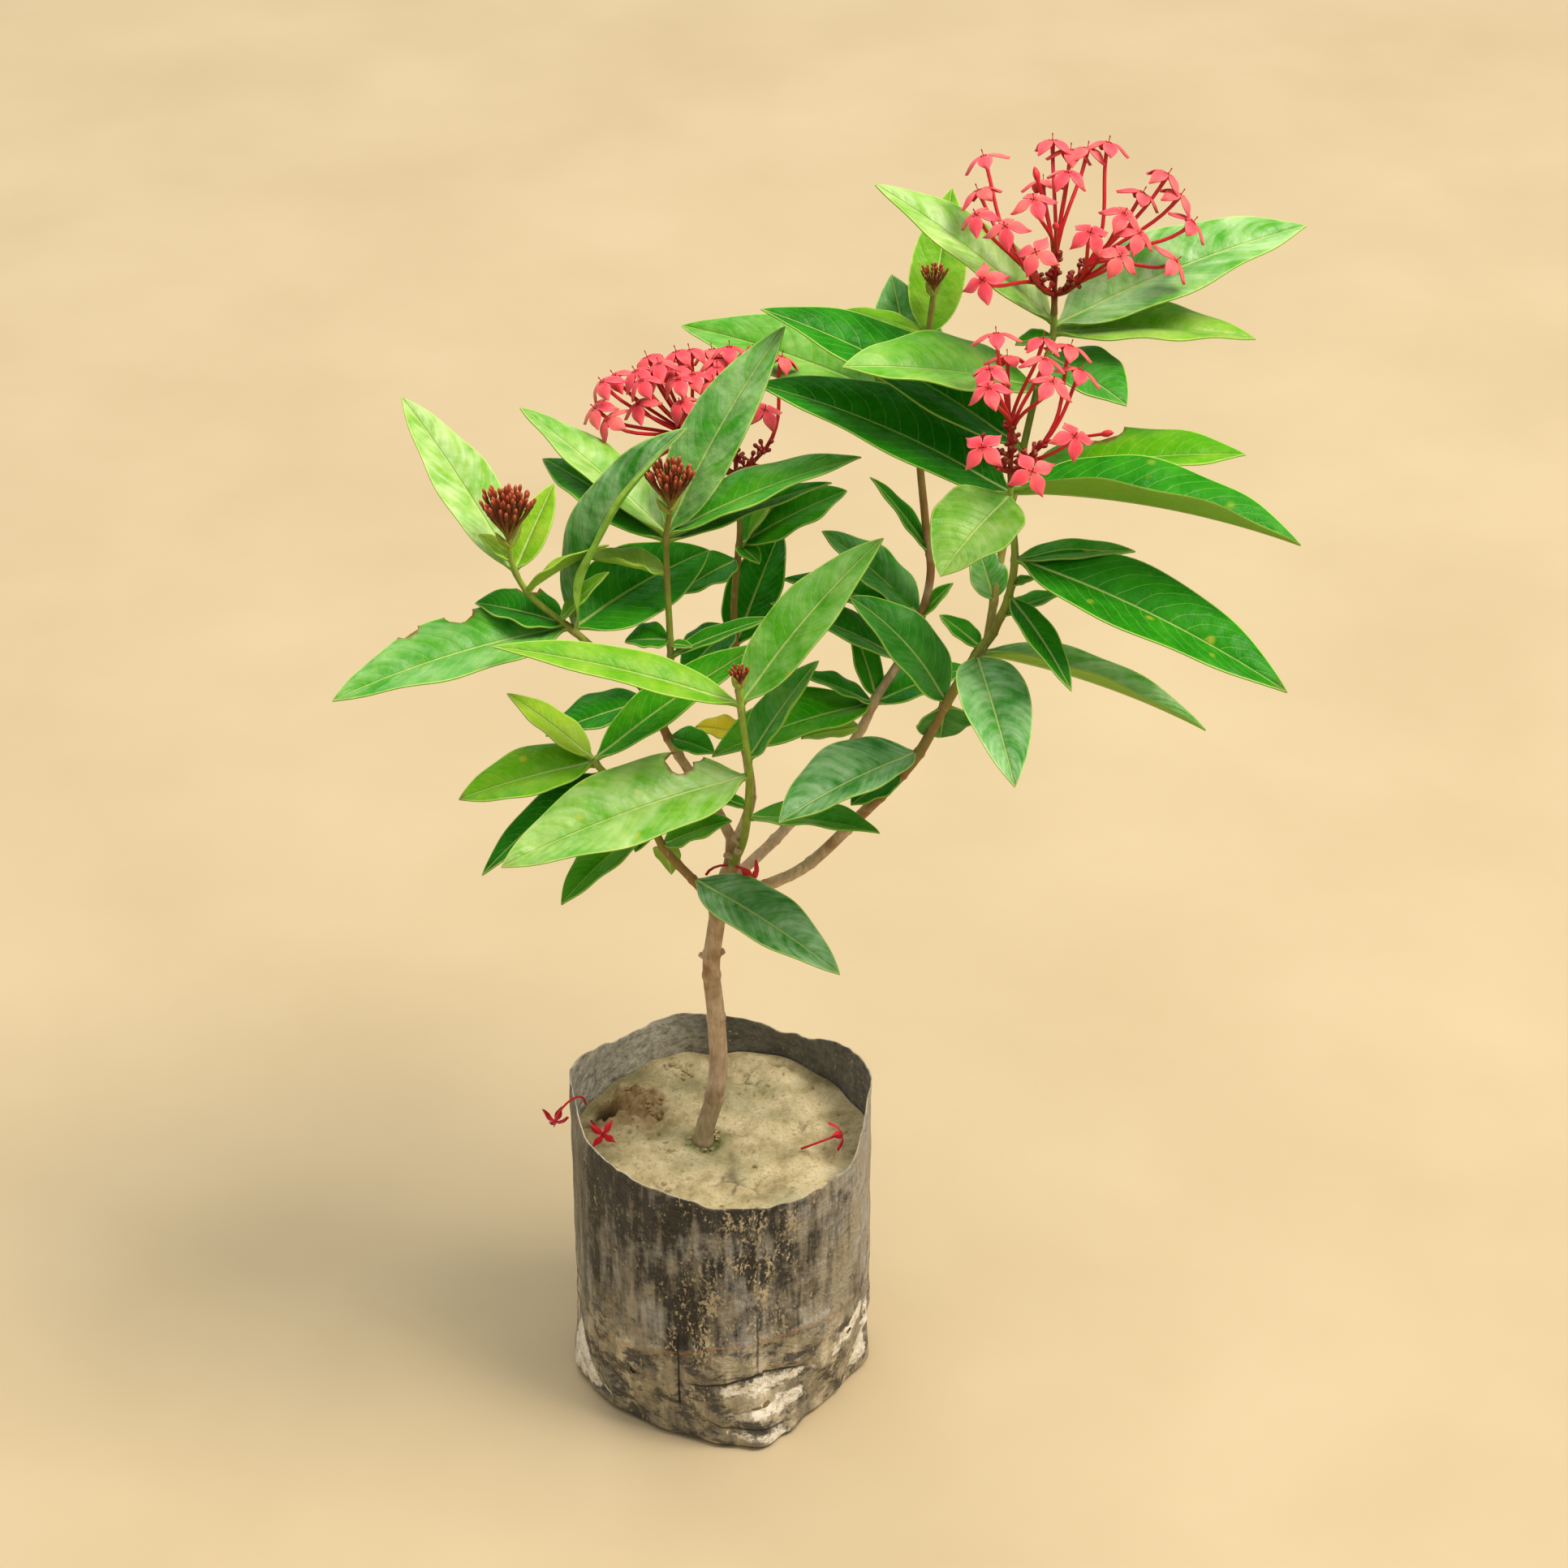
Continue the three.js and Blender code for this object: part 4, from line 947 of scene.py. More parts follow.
# The throat is deep red, partly its own colour and partly painted shade; the rims are paler and
# the midline darker; paler orange patches stand partly for petals the sun has faded and partly for
# painted highlights; the back is red; dropped petals redden first and then dry to a dark red.
face = add(tree, "ValToRGB", {0: along}, stops=[
    (0.0, "#8f1016"), (1.0, "#ea4a58"), (0.1, "#c51f2a"), (0.3, "#e63c4a"), (0.75, "#ef5662")])
pale = add(tree, "MapRange", {"Value": edge, "From Min": 0.55, "From Max": 1.0,
                              "To Min": 0, "To Max": 0.5})
mid = add(tree, "MapRange", {"Value": edge, "From Min": 0.0, "From Max": 0.16,
                             "To Min": 0.4, "To Max": 0})
faded_and_highlit = add(tree, "TexNoise", {"Vector": spot3d, "Scale": apart(14.3), "Detail": 2})
faded_and_highlit = add(tree, "MapRange", {"Value": faded_and_highlit, "From Min": 0.45, "From Max": 0.65,
                                "To Min": 0, "To Max": 0.5})
mottle = add(tree, "MapRange", {"Value": cloud, "From Min": 0.35, "From Max": 0.65,
                                "To Min": 0, "To Max": 0.3})
back = add(tree, "Math", {0: kind, 1: 0.0}, operation="LESS_THAN")
age = add(tree, "Math", {0: kind}, operation="ABSOLUTE")
old = add(tree, "MapRange", {"Value": age, "From Min": 1.0, "From Max": 2.0,
                             "To Min": 0, "To Max": 1})
dried = add(tree, "MapRange", {"Value": age, "From Min": 2.0, "From Max": 3.0,
                               "To Min": 0, "To Max": 0.85})
for mark, hue in ((pale, "#f67880"), (mid, "#cf2c3e"), (faded_and_highlit, "#f48474"),
                  (mottle, "#dc3a4c"), (back, "#cf2434"), (old, "#cf1226"), (dried, "#7d0c12")):
    face = add(tree, MIX, {FACTOR: mark, A: face, B: hue}, out=MIXED, data_type="RGBA")
tree.links.new(face, shader.inputs["Base Color"])
ribs = add(tree, "Math", {0: across, 1: 22.0}, operation="MULTIPLY")
ribs = add(tree, "Math", {0: ribs}, operation="SINE")
bump = add(tree, "Bump", {"Height": ribs, "Strength": 0.2, "Distance": 0.0002})
tree.links.new(bump, shader.inputs["Normal"])
print("petal finish:", len(tree.nodes), "nodes")

# %% [markdown]
# ### Tubes and buds
# Tubes, arms and buds are smooth waxy skins. Only their colours differ, which run along the
# stalk's own map from foot to tip, so one function makes both finishes.

# %% Tube and bud finishes
def stalk_finish(name, stops, roughness):
    """A smooth plant skin whose colour runs along the stalk's own map."""
    material, tree, shader = start_finish(name, IOR=1.42, Specular_IOR_Level=0.45,
                                          Roughness=roughness)
    stalk_map = add(tree, "Attribute", out=1, attribute_name="stalk")
    along = add(tree, "SeparateXYZ", {0: stalk_map}, out=0)
    spot3d = add(tree, "TexCoord", out=OBJECT)
    cloud = add(tree, "TexNoise", {"Vector": spot3d, "Scale": apart(2.86), "Detail": 3})
    shift = add(tree, "MapRange", {"Value": cloud, "From Min": 0.3, "From Max": 0.7,
                                   "To Min": -0.07, "To Max": 0.07})
    along = add(tree, "Math", {0: along, 1: shift}, operation="ADD")
    colour = add(tree, "ValToRGB", {0: along}, stops=stops)
    tree.links.new(colour, shader.inputs["Base Color"])
    bump = add(tree, "Bump", {"Height": cloud, "Strength": 0.25, "Distance": 0.0004})
    tree.links.new(bump, shader.inputs["Normal"])
    return material


tube_finish = stalk_finish("waxy_red_stalk", [
    (0.0, "#7a7030"), (1.0, "#dd3c48"), (0.08, "#7c4526"), (0.18, "#841914"), (0.4, "#ab1519"),
    (0.7, "#c81d26")], 0.4)
bud_finish = stalk_finish("closed_bud", [
    (0.0, "#8d9a3c"), (1.0, "#c06a44"), (0.15, "#8a7434"), (0.3, "#7c4222"), (0.45, "#5e2012"),
    (0.7, "#8a3420"), (0.88, "#a84c30")], 0.4)
print("finishes so far:", [material.name for material in bpy.data.materials])

# %% [markdown]
# ## Making a floret
# Each floret is a slim tube that ends in four pointed petals. A petal starts as a small grid that
# is drawn in to a lance shape and extruded thin. Then it is rolled back along an arc, because the
# petals of an open floret droop. The style stands up from the throat with four small anthers.

# %% Floret maker
PETAL_LENGTH = 11.8
PETAL_HALF = 3.7
PETAL_OUTLINE = [(0, 0.28), (0.12, 0.46), (0.28, 0.85), (0.42, 1), (0.58, 0.9), (0.76, 0.58),
                 (0.9, 0.26), (1, 0.03)]
PETAL_THICK = 0.44
STYLE = [(0, 0.3), (2.2, 0.22), (3.6, 0.36), (4.0, 0.1)]      # mm over the mouth, radius


def grow_petal(bm, mouth, axis, out, droop, kind):
    """A petal. Kind is 1 for a fresh one, 2 for a dropped one and 3 for a dried one."""
    before = set(bm.verts)
    sheet = bmesh.ops.create_grid(bm, x_segments=4, y_segments=7, size=0.5)
    made = bmesh.ops.extrude_face_region(bm, geom=faces_at(sheet["verts"]))
    top = {g for g in made["geom"] if isinstance(g, bmesh.types.BMVert)}
    layer = bm.verts.layers.float_vector["petal"]
    wide = axis.cross(out)
    shrink = 1 - 0.28 * min(kind - 1, 1)     # dropped petals dry and draw in
    for v in [v for v in bm.verts if v not in before]:
        a, b = 2 * v.co.x, v.co.y + 0.5
        bend = droop * b
        far = 0.5 + PETAL_LENGTH * shrink * math.sin(bend) / droop
        drop = PETAL_LENGTH * shrink * (1 - math.cos(bend)) / droop
        x = a * PETAL_HALF * shrink ** 2 * from_table(PETAL_OUTLINE, b)
        cup = 0.55 * (1 - abs(a)) * smooth(b, 0, 0.3) - 0.5 * abs(a) ** 2 * smooth(b, 0.2, 0.6)
        flick = 0.7 * smooth(b, 0.8, 1)
        skin = PETAL_THICK / 2 if v in top else -PETAL_THICK / 2
        face = axis * math.cos(bend) + out * math.sin(bend)
        v.co = mouth + out * far - axis * drop + wide * x + face * (cup + flick + skin)
        v[layer] = (a, b, kind if v in top else -kind)


def bent(ends, t):
    """A point at t of the smooth bend that four points steer."""
    p = [a.lerp(b, t) for a, b in zip(ends, ends[1:])]
    p = [a.lerp(b, t) for a, b in zip(p, p[1:])]
    return p[0].lerp(p[1], t)


def grow_floret(petals, stalks, start, leave, mouth, axis, spin, droop, kind, rng):
    """A floret whose tube leaves start that way, and whose petals open round its mouth."""
    helper = Vector((1, 0, 0)) if abs(axis.z) > 0.9 else UP
    side = helper.cross(axis).normalized()
    rise = axis.cross(side)
    for k in range(4):
        angle = math.radians(90 * k + spin)
        out = side * math.cos(angle) + rise * math.sin(angle)
        grow_petal(petals, mouth + axis * 0.35, axis, out, droop * rng.uniform(0.8, 1.25), kind)
    reach = (mouth - start).length
    steps = 9
    ends = (start, start + leave * reach * 0.4, mouth - axis * reach * 0.35, mouth)
    spots, radii, marks = [], [], []
    for k in range(steps + 1):
        t = k / steps
        spots.append(bent(ends, t))
        radii.append((0.92 + 0.4 * math.exp(-((t - 0.06) / 0.05) ** 2)
                      + 0.35 * smooth(t, 0.86, 1)) * (1.35 - 0.35 * min(kind, 2)))
        marks.append((0.3 + 0.7 * t, 0, 0))
    grow_stalk(stalks, spots, radii, 7, marks)
    lean = (axis + 0.12 * side * rng.uniform(-1, 1)).normalized()
    grow_stalk(stalks, [mouth + lean * high for high, _ in STYLE],
               [radius for _, radius in STYLE], 5, shades(0.5, 0.7, 0.2, 0.2))
    for k in range(4):
        angle = math.radians(90 * k + 45 + spin)
        out = side * math.cos(angle) + rise * math.sin(angle)
        spots = [mouth + axis * (0.5 + 0.25 * s) + out * (0.4 + 1.3 * s) for s in (0, 0.5, 1, 1.2)]
        grow_stalk(stalks, spots, [0.2, 0.2, 0.32, 0.1], 5, shades(0.3, 0.3, 0.3, 0.3))


def finish_flower(petals, stalks, petals_name, stalks_name, node):
    finish_piece(petals, petals_name, petal_finish, "petal", node)
    finish_piece(stalks, stalks_name, tube_finish, "petal", node)


print("petal", PETAL_LENGTH, "mm long and", 2 * PETAL_HALF, "mm wide")

# %% [markdown]
# ## Open heads
# A short stalk branches into a middle arm and a ring of five arms, like the ribs of an umbrella.
# The florets' tubes sweep out of the arm tips and turn upwards. Bare cups are left on the arms
# where florets have dropped, and they give the dark knobbly heart of the head.

# %% Plan of the open heads
# The height of each head's middle over its stem, then its florets as [heading, rise, reach].
BLOOMS = {
    "right_back": (10, [
        [139, 52, 71], [93, 65, 70], [76, 65, 66], [62, 63, 68], [49, 60, 73],
        [63, 80, 58], [95, 37, 58], [148, 45, 59], [230, 71, 58], [191, 49, 58], [21, 43, 75],
        [23, 45, 61], [15, 36, 73], [333, 56, 58], [330, 45, 58], [8, 27, 71], [292, 54, 58],
        [253, 45, 58], [306, 40, 58], [354, 20, 58], [227, 27, 58], [224, 53, 58]]),
    "right_front": (8, [
        [103, 61, 62], [62, 60, 61], [43, 54, 62], [192, 78, 54], [37, 71, 54],
        [32, 48, 55], [232, 69, 54], [330, 69, 54], [91, 44, 54], [249, 39, 54],
        [278, 29, 54], [309, 41, 54]]),
    "back": (12, [
        [182, 39, 82], [174, 48, 72], [165, 50, 65], [157, 58, 60], [178, 62, 58],
        [131, 58, 64], [167, 68, 56], [106, 60, 58], [114, 68, 57], [148, 69, 42],
        [122, 69, 44], [73, 62, 60], [45, 59, 61], [187, 31, 79], [193, 31, 73],
        [185, 41, 62], [319, 66, 46], [196, 9, 66], [183, 58, 40], [152, 47, 71],
        [143, 57, 66], [170, 57, 68], [126, 74, 54], [98, 70, 62], [160, 77, 50],
        [186, 50, 70], [200, 58, 52], [108, 52, 62], [66, 72, 54], [172, 40, 77]]),
}
# Closed florets that stand among the open ones: [heading, rise, reach].
CLOSED = {"right_back": [[262, 74, 44], [120, 70, 60]], "right_front": [[350, 28, 52]],
          "back": [[60, 78, 66], [75, 80, 60]]}
ARMS, ARM_REACH, ARM_RISE = 5, 20, 38       # how many in the ring, their length and rise
CUPS = 11                         # bare cups left on each arm
FALLEN_BACK = {"back": 0.3}       # how much further the petals of an older head droop
GAP = 0.3                         # mm left free between a stem's tip and its head
print("open florets:", {name: len(florets) for name, (_, florets) in BLOOMS.items()})

# %% [markdown]
# ### Growing the open heads
# Each floret leaves the arm tip that is nearest to its mouth. The more upright it stands, the
# further its petals fall back.

# %% Open heads
for name, (lift, florets) in BLOOMS.items():
    rng = random.Random("bloom " + name)
    petals, stalks = new_mesh("petal"), new_mesh("stalk")
    foot, way = on_stem(name, 1)
    hub = foot + way * lift
    arms = [hub + UP * ARM_REACH] + [hub + direction(360 * k / ARMS + 18, ARM_RISE) * ARM_REACH
                                     for k in range(ARMS)]
    grow_stalk(stalks, [foot + way * GAP, foot + way * lift * 0.5, hub, hub + way * 1.5],
               [1.75, 1.45, 1.6, 1.0], 10, shades(0, 0.05, 0.14, 0.2))
    for arm in arms:
        sag = Vector((0, 0, -1.6)) if arm is not arms[0] else Vector()
        spots = [hub.lerp(arm, s) + sag * 4 * s * (1 - s)
                 for s in (0, 0.25, 0.5, 0.75, 0.95, 1.03)]
        grow_stalk(stalks, spots, [1.25, 1.1, 1.25, 1.0, 1.3, 0.6], 8,
                   shades(*(0.16 + 0.03 * k for k in range(6))))
        for _ in range(CUPS):
            start = hub.lerp(arm, rng.uniform(0.3, 1.05))
            out = (direction(rng.uniform(0, 360), rng.uniform(-20, 70))
                   + (arm - hub).normalized() * 0.6).normalized()
            size = rng.uniform(0.8, 1.15)
            spots = [start + out * s * size for s in (0, 2.6, 3.2, 4.2, 5.0, 5.3)]
            grow_stalk(stalks, spots, [0.65, 0.6, 1.05, 1.25, 0.9, 0.3], 6,
                       shades(0.3, 0.3, 0.22, 0.2, 0.12, 0.12))
    for k, (heading, rise, reach) in enumerate(florets + CLOSED[name]):
        way = direction(heading, rise)
        mouth = hub + way * reach
        near = min(arms, key=lambda arm: (arm - mouth).length)
        axis = (way * 0.65 + UP * 0.35).normalized()
        leave = ((near - hub).normalized() + way).normalized()
        if k < len(florets):
            droop = 0.5 + 0.55 * smooth(axis.z, 0.55, 0.95) + rng.uniform(-0.12, 0.2)
            droop += FALLEN_BACK.get(name, 0)
            grow_floret(petals, stalks, near, leave, mouth, axis, 47 * k, droop, 1.0, rng)
        else:
            spots = [near.lerp(mouth, s) for s in (0, 0.06, 0.12, 0.5, 0.82, 0.87, 0.92, 0.97, 1)]
            grow_stalk(stalks, spots, [0.7, 1.1, 0.75, 0.7, 0.75, 1.5, 1.7, 1.1, 0.2], 8,
                       shades(0.3, 0.3, 0.45, 0.6, 0.7, 0.85, 0.9, 0.85, 0.8))
    finish_flower(petals, stalks, f"petals_{name}", f"flower_stalks_{name}", f"bloom_{name}")

# %% [markdown]
# ## Heads of buds
# A young head is a crowded, nearly flat-topped bunch. The golden angle, which is how many real
# flower heads pack, spreads its buds evenly: each is turned by 137.5 degrees from the last, and
# stands a little further out. The stalks leave the middle sideways and then bend up, so all the
# buds point to the sky.

# %% Bud heads
# The buds of the CAD's head, the height of its middle over the stem, and its reach.
BUD_HEADS = {"left": (20, 8, 26), "centre": (17, 7, 24), "front": (8, 4, 10),
             "middle": (11, 4, 14)}
GOLDEN_ANGLE = 137.5
FINER = 2.3                       # buds here for each of the CAD's
BUD_LENGTH = 6.2
# The girth of a bud, as (share of its length, radius).
BUD_SHAPE = [(0.1, 0.85), (0.2, 0.9), (0.28, 0.62), (0.5, 0.85), (0.7, 1.0), (0.85, 0.75),
             (0.95, 0.35), (1, 0.06)]
for name, (count, lift, reach) in BUD_HEADS.items():
    rng = random.Random("buds " + name)
    bm = new_mesh("stalk")
    foot, way = on_stem(name, 1)
    hub = foot + way * lift * 0.5
    buds = round(count * FINER)
    size = 1.0 if reach > 20 else 0.62        # a young head's buds are smaller
    grow_stalk(bm, [foot + way * GAP, foot + way * lift * 0.3, hub],
               [1.5, 1.35, 1.5], 9, shades(0, 0.04, 0.1))
    for k in range(buds):
        outward = math.sqrt((k + 0.5) / buds)
        flat = direction(GOLDEN_ANGLE * k + rng.uniform(-9, 9), 0)
        top = reach * (0.9 - 0.14 * outward ** 2) * rng.uniform(0.86, 1.04) + lift * 0.4
        end = hub + flat * reach * 0.54 * outward + UP * top
        bud = (UP + flat * 0.45 * outward).normalized() * BUD_LENGTH * size
        ends = (hub, hub + (flat * 0.3 * outward + UP * 0.6) * reach * 0.5, end - bud * 1.7,
                end - bud)
        spots, radii, marks = [], [], []
        for step in range(5):
            t = step / 4
            spots.append(bent(ends, t))
            radii.append((0.7 - 0.2 * t) * size)
            marks.append((0.12 + 0.3 * t, 0, 0))
        for share, girth in BUD_SHAPE:
            spots.append(end - bud * (1 - share))
            radii.append(girth * size)
            marks.append((0.4 + 0.6 * share, 0, 0))
        grow_stalk(bm, spots, radii, 6, marks)
    for turn in (40, 220):
        out = direction(turn, 35)
        grow_stalk(bm, [foot + out * s * size + UP * s * s * 0.06 for s in (0, 2, 5, 8, 9.5)],
                   [1.2, 1.5, 1.7, 1.0, 0.1], 6, shades(0, 0, 0, 0, 0))
    finish_piece(bm, f"bud_head_{name}", bud_finish, "bud", f"buds_{name}")

# %% [markdown]
# ## Dropped florets
# Two florets have fallen into the bag. They are redder than the fresh ones, and each lies on the
# foot of its tube and the tips of two petals.

# %% Dropped florets
DROPPED_TUBE = 22
for name, spot, heading, droop in (("left", (-61, -5, 151.4), -70, 0.5),
                                   ("right", (62, -6, 152.35), 10, 1.25)):
    rng = random.Random("dropped " + name)
    petals, stalks = new_mesh("petal"), new_mesh("stalk")
    axis = direction(heading, 18)
    mouth = Vector(spot)
    grow_floret(petals, stalks, mouth - axis * DROPPED_TUBE, axis, mouth, axis, 45, droop, 2.0,
                rng)
    finish_flower(petals, stalks, f"dropped_petals_{name}", f"dropped_tube_{name}",
                  f"fallen_floret_{name}")

# %% [markdown]
# ## Soil finish
# The soil is watered clay that has dried: pale and dusty on top, grey-green where algae grew in
# the hollows, and darker and browner where it was dug up. Inside its cracks, its pits and the hole
# by the heap a dark shade is painted. The mesh holds three masks for this, and noise at the size
# of the grains breaks them up.

# %% Soil finish
soil_finish, tree, shader = start_finish("dried_clay_soil", IOR=1.35, Specular_IOR_Level=0.15,
                                         Roughness=0.95)
ground = add(tree, "Attribute", out=1, attribute_name="ground")
dug, painted_hollow_shade, moss = [add(tree, "SeparateXYZ", {0: ground}, out=k) for k in range(3)]
spot3d = add(tree, "TexCoord", out=OBJECT)
broad = add(tree, "TexNoise", {"Vector": spot3d, "Scale": apart(18.2), "Detail": 5,
                               "Roughness": 0.6})
fine = add(tree, "TexNoise", {"Vector": spot3d, "Scale": apart(1.923), "Detail": 5,
                              "Roughness": 0.7})
clay = add(tree, "ValToRGB", {0: broad}, stops=[
    (0.3, "#92845f"), (0.74, "#e9d8b2"), (0.43, "#bcab80"), (0.56, "#d5c399")])
algae = add(tree, "TexNoise", {"Vector": spot3d, "Scale": apart(29.4), "Detail": 4})
algae = add(tree, "MapRange", {"Value": algae, "From Min": 0.5, "From Max": 0.68,
                               "To Min": 0, "To Max": 0.6})
green = add(tree, "Math", {0: moss, 1: fine}, operation="MULTIPLY")
green = add(tree, "MapRange", {"Value": green, "From Min": 0.15, "From Max": 0.5,
                               "To Min": 0, "To Max": 0.9})
grit = add(tree, "MapRange", {"Value": fine, "From Min": 0.3, "From Max": 0.48,
                              "To Min": 0.7, "To Max": 0})
# Algae, the clay that was dug up, moss at the trunk, grit, and painted shade in the cracks, pits
# and hole.
for mark, hue in ((algae, "#94916a"), (dug, "#98794f"), (green, "#6c7a3c"), (grit, "#85724f"),
                  (painted_hollow_shade, "#382c1a")):
    clay = add(tree, MIX, {FACTOR: mark, A: clay, B: hue}, out=MIXED, data_type="RGBA")
tree.links.new(clay, shader.inputs["Base Color"])
relief = add(tree, "Math", {0: broad, 1: 2.0, 2: fine}, operation="MULTIPLY_ADD")
bump = add(tree, "Bump", {"Height": relief, "Strength": 0.9, "Distance": 0.0012})
tree.links.new(bump, shader.inputs["Normal"])
print("soil finish:", len(tree.nodes), "nodes")

# %% [markdown]
# ## Shape of the bag
# The soil fills the bag and the film is the bag, so both read its shape from here. Two tables give
# the rim's height and the base's radius by heading, and in between the bag swells from its flat
# folded base to a round wall. These are the CAD bag's own numbers.

# %% Shape of the bag
# The rim's height and the base's radius in mm, by heading in degrees.
RIM = [[0, 177], [19, 177], [67, 160], [90, 167], [108, 169], [132, 167], [165, 179],
       [190, 180], [228, 171], [253, 166], [276, 162], [290, 158], [326, 160], [342, 169]]
BASE = [[8, 76], [40, 74], [75, 73], [105, 80], [130, 74], [165, 74], [190, 81], [205, 77],
        [235, 73], [258, 74], [274, 79], [286, 84], [296, 78], [311, 71], [335, 71], [352, 79]]
BAG_RADIUS, BASE_HEIGHT, BAG_FLOOR, BASE_TUCK = 77.5, 46, 3, 4


def around(table, degrees):
    """A value read from a table of [degrees, value] that runs once round the bag."""
    turn = degrees % 360
    after = next((k for k, (at, _) in enumerate(table) if at > turn), 0)
    (x1, y1), (x2, y2) = table[after - 1], table[after]
    return y1 + (y2 - y1) * smooth(((turn - x1) % 360) / ((x2 - x1) % 360), 0, 1)


def bag_radius(degrees, z):
    blend = smooth(z, 0, BASE_HEIGHT)
    turn = math.radians(degrees)
    folds = 0.9 * math.sin(7 * turn) + 0.6 * math.sin(11 * turn)
    tuck = BASE_TUCK * (1 - z / BAG_FLOOR) if z < BAG_FLOOR else 0
    base = around(BASE, degrees)
    return base + (BAG_RADIUS - base) * blend + folds * (0.4 + 0.6 * blend) - tuck


def on_bag(degrees, z, inset=0.0):
    radius = bag_radius(degrees, z) - inset
    turn = math.radians(degrees)
    return Vector((radius * math.cos(turn), radius * math.sin(turn), z))


print("rim from", min(z for _, z in RIM), "to", max(z for _, z in RIM), "mm high")

# %% [markdown]
# ## Soil
# The top is a square grid that is pressed into a disc, so its cells stay about as large as one
# another all over. Its height is the slow waves of the CAD soil with clods, cracks and a dug-up
# heap laid over them. The rim of the disc is extruded down the inside of the bag, and closed.

# %% Soil
SOIL_LEVEL, SOIL_INSET = 143, 1.3
SOIL_CELLS = 110
HEAP, HEAP_HOLE = Vector((-45, 25, 0)), Vector((-60, 20, 0))
TRUNK_FOOT = Vector((-9, 1, 0))


def soil_waves(p):
    """The slow waves of the CAD soil, in mm over the soil's level."""
    return 0.9 * (1.6 * math.sin(p.x / 9 + 1.3 * math.sin(p.y / 14)) * math.cos(p.y / 11 + 0.6)
                  + 0.9 * math.sin(p.x / 4.3 + p.y / 6.1))


def crack(p, size):
    """0 on the border between two clods of this size, and more inside a clod."""
    wobble = Vector((noise.noise(p / 9), noise.noise(p / 9 + UP * 7), 0)) * 3
    nearest, _ = noise.voronoi((p + wobble) / size)
    return nearest[1] - nearest[0]


bm = new_mesh("ground")
bmesh.ops.create_grid(bm, x_segments=SOIL_CELLS, y_segments=SOIL_CELLS, size=1)
layer = bm.verts.layers.float_vector["ground"]
for v in bm.verts:
    a, b = v.co.x, v.co.y
    flat = Vector((a * math.sqrt(1 - b * b / 2), b * math.sqrt(1 - a * a / 2), 0))
    degrees = math.degrees(math.atan2(flat.y, flat.x))
    v.co = flat * (bag_radius(degrees, SOIL_LEVEL - 3) - SOIL_INSET)
    inner = 1 - smooth(flat.length, 0.9, 1)
    heap = 1 - smooth((v.co - HEAP).length * (1 + 0.3 * noise.noise(v.co / 9)), 9, 26)
    hole = 1 - smooth((v.co - HEAP_HOLE).length, 3.5, 7.5)
    foot = 1 - smooth((v.co - TRUNK_FOOT).length, 5, 17)
    split = 1 - smooth(crack(v.co, 19), 0.01, 0.09)
    split *= smooth(noise.noise(v.co / 23 + UP * 3), 0.1, 0.45)
    pit = smooth(noise.noise(v.co / 2.6 + UP * 11), 0.5, 0.68)
    lumps = noise.fractal(v.co / 8, 1.0, 2.0, 4)
    heap_lumps = heap * (4.4 + 4.8 * noise.fractal(v.co / 6 + UP * 5, 1.0, 2.0, 3)
                         + 3.2 * smooth(crack(v.co, 8), 0, 0.3))
    v.co.z = SOIL_LEVEL + soil_waves(v.co) + inner * (
        1.7 * lumps - 1.6 * split - 0.8 * pit + heap_lumps - 12 * hole - 1.6 * foot * abs(lumps))
    # The middle value is painted shade in the cracks, the pits and the hole.
    v[layer] = (0.8 * heap, min((0.6 * split + 0.6 * pit) * inner + hole, 1), foot)
loop = [e for e in bm.edges if e.is_boundary]
for z in (95, 46, 18, BAG_FLOOR + 0.3):
    made = bmesh.ops.extrude_edge_only(bm, edges=loop)
    ring = [g for g in made["geom"] if isinstance(g, bmesh.types.BMVert)]
    loop = [g for g in made["geom"] if isinstance(g, bmesh.types.BMEdge)]
    for v in ring:
        v.co = on_bag(math.degrees(math.atan2(v.co.y, v.co.x)), z, SOIL_INSET)
        # The soil's sides down the bag get some painted shade too.
        v[layer] = (0.6, 0.3, 0)
bmesh.ops.edgeloop_fill(bm, edges=loop)
print("soil cells:", len(bm.faces))

# %% [markdown]
# ### Crumbs
# Loose crumbs lie about the trunk's foot, on the heap, along the back of the bag and a few all
# over. Each is a small ball that noise makes lumpy, sunk a little into the soil.

# %% Crumbs
# The middle of each group, how far it spreads in mm, and how many crumbs it has.
CRUMBS = [(TRUNK_FOOT, 11, 26), (HEAP, 17, 30), (Vector((-20, 62, 0)), 11, 22),
          (Vector((0, 0, 0)), 52, 14)]
rng = random.Random("crumbs")
for middle, spread, count in CRUMBS:
    for _ in range(count):
        spot = middle + direction(rng.uniform(0, 360), 0) * spread * math.sqrt(rng.random())
        if spot.length > 71 or (spot - TRUNK_FOOT).length < 6 or (spot - HEAP_HOLE).length < 6:
            continue
        heap = 6 * (1 - smooth((spot - HEAP).length, 9, 24))
        size = rng.uniform(0.6, 1.5)
        height = SOIL_LEVEL + soil_waves(spot) + heap + 0.2 * size
        seat = Matrix.Translation(spot + UP * height)
        ball = bmesh.ops.create_icosphere(bm, subdivisions=2, radius=size, matrix=seat)
        for v in ball["verts"]:
            out = v.co - seat.translation
            out *= 1 + 0.9 * noise.noise(v.co / (0.8 * size))
            v.co = seat.translation + Vector((out.x * 1.15, out.y, out.z * 0.6))
            v[layer] = (0.9 if heap > 1 else rng.choice((0.1, 0.5)), 0.05, 0)
finish_piece(bm, "dried_soil", soil_finish, "soil", "soil")

# %% [markdown]
# ## Bag film finish
# The grow bag is thin black polythene. Clay water has dried on it in specks and runs, most of it
# half way up, where mud splashes from below and drips from above meet. The folded base has lost
# its black and shows chalky white creases. The map of the film is in millimetres round and up, so
# the runs stand upright.

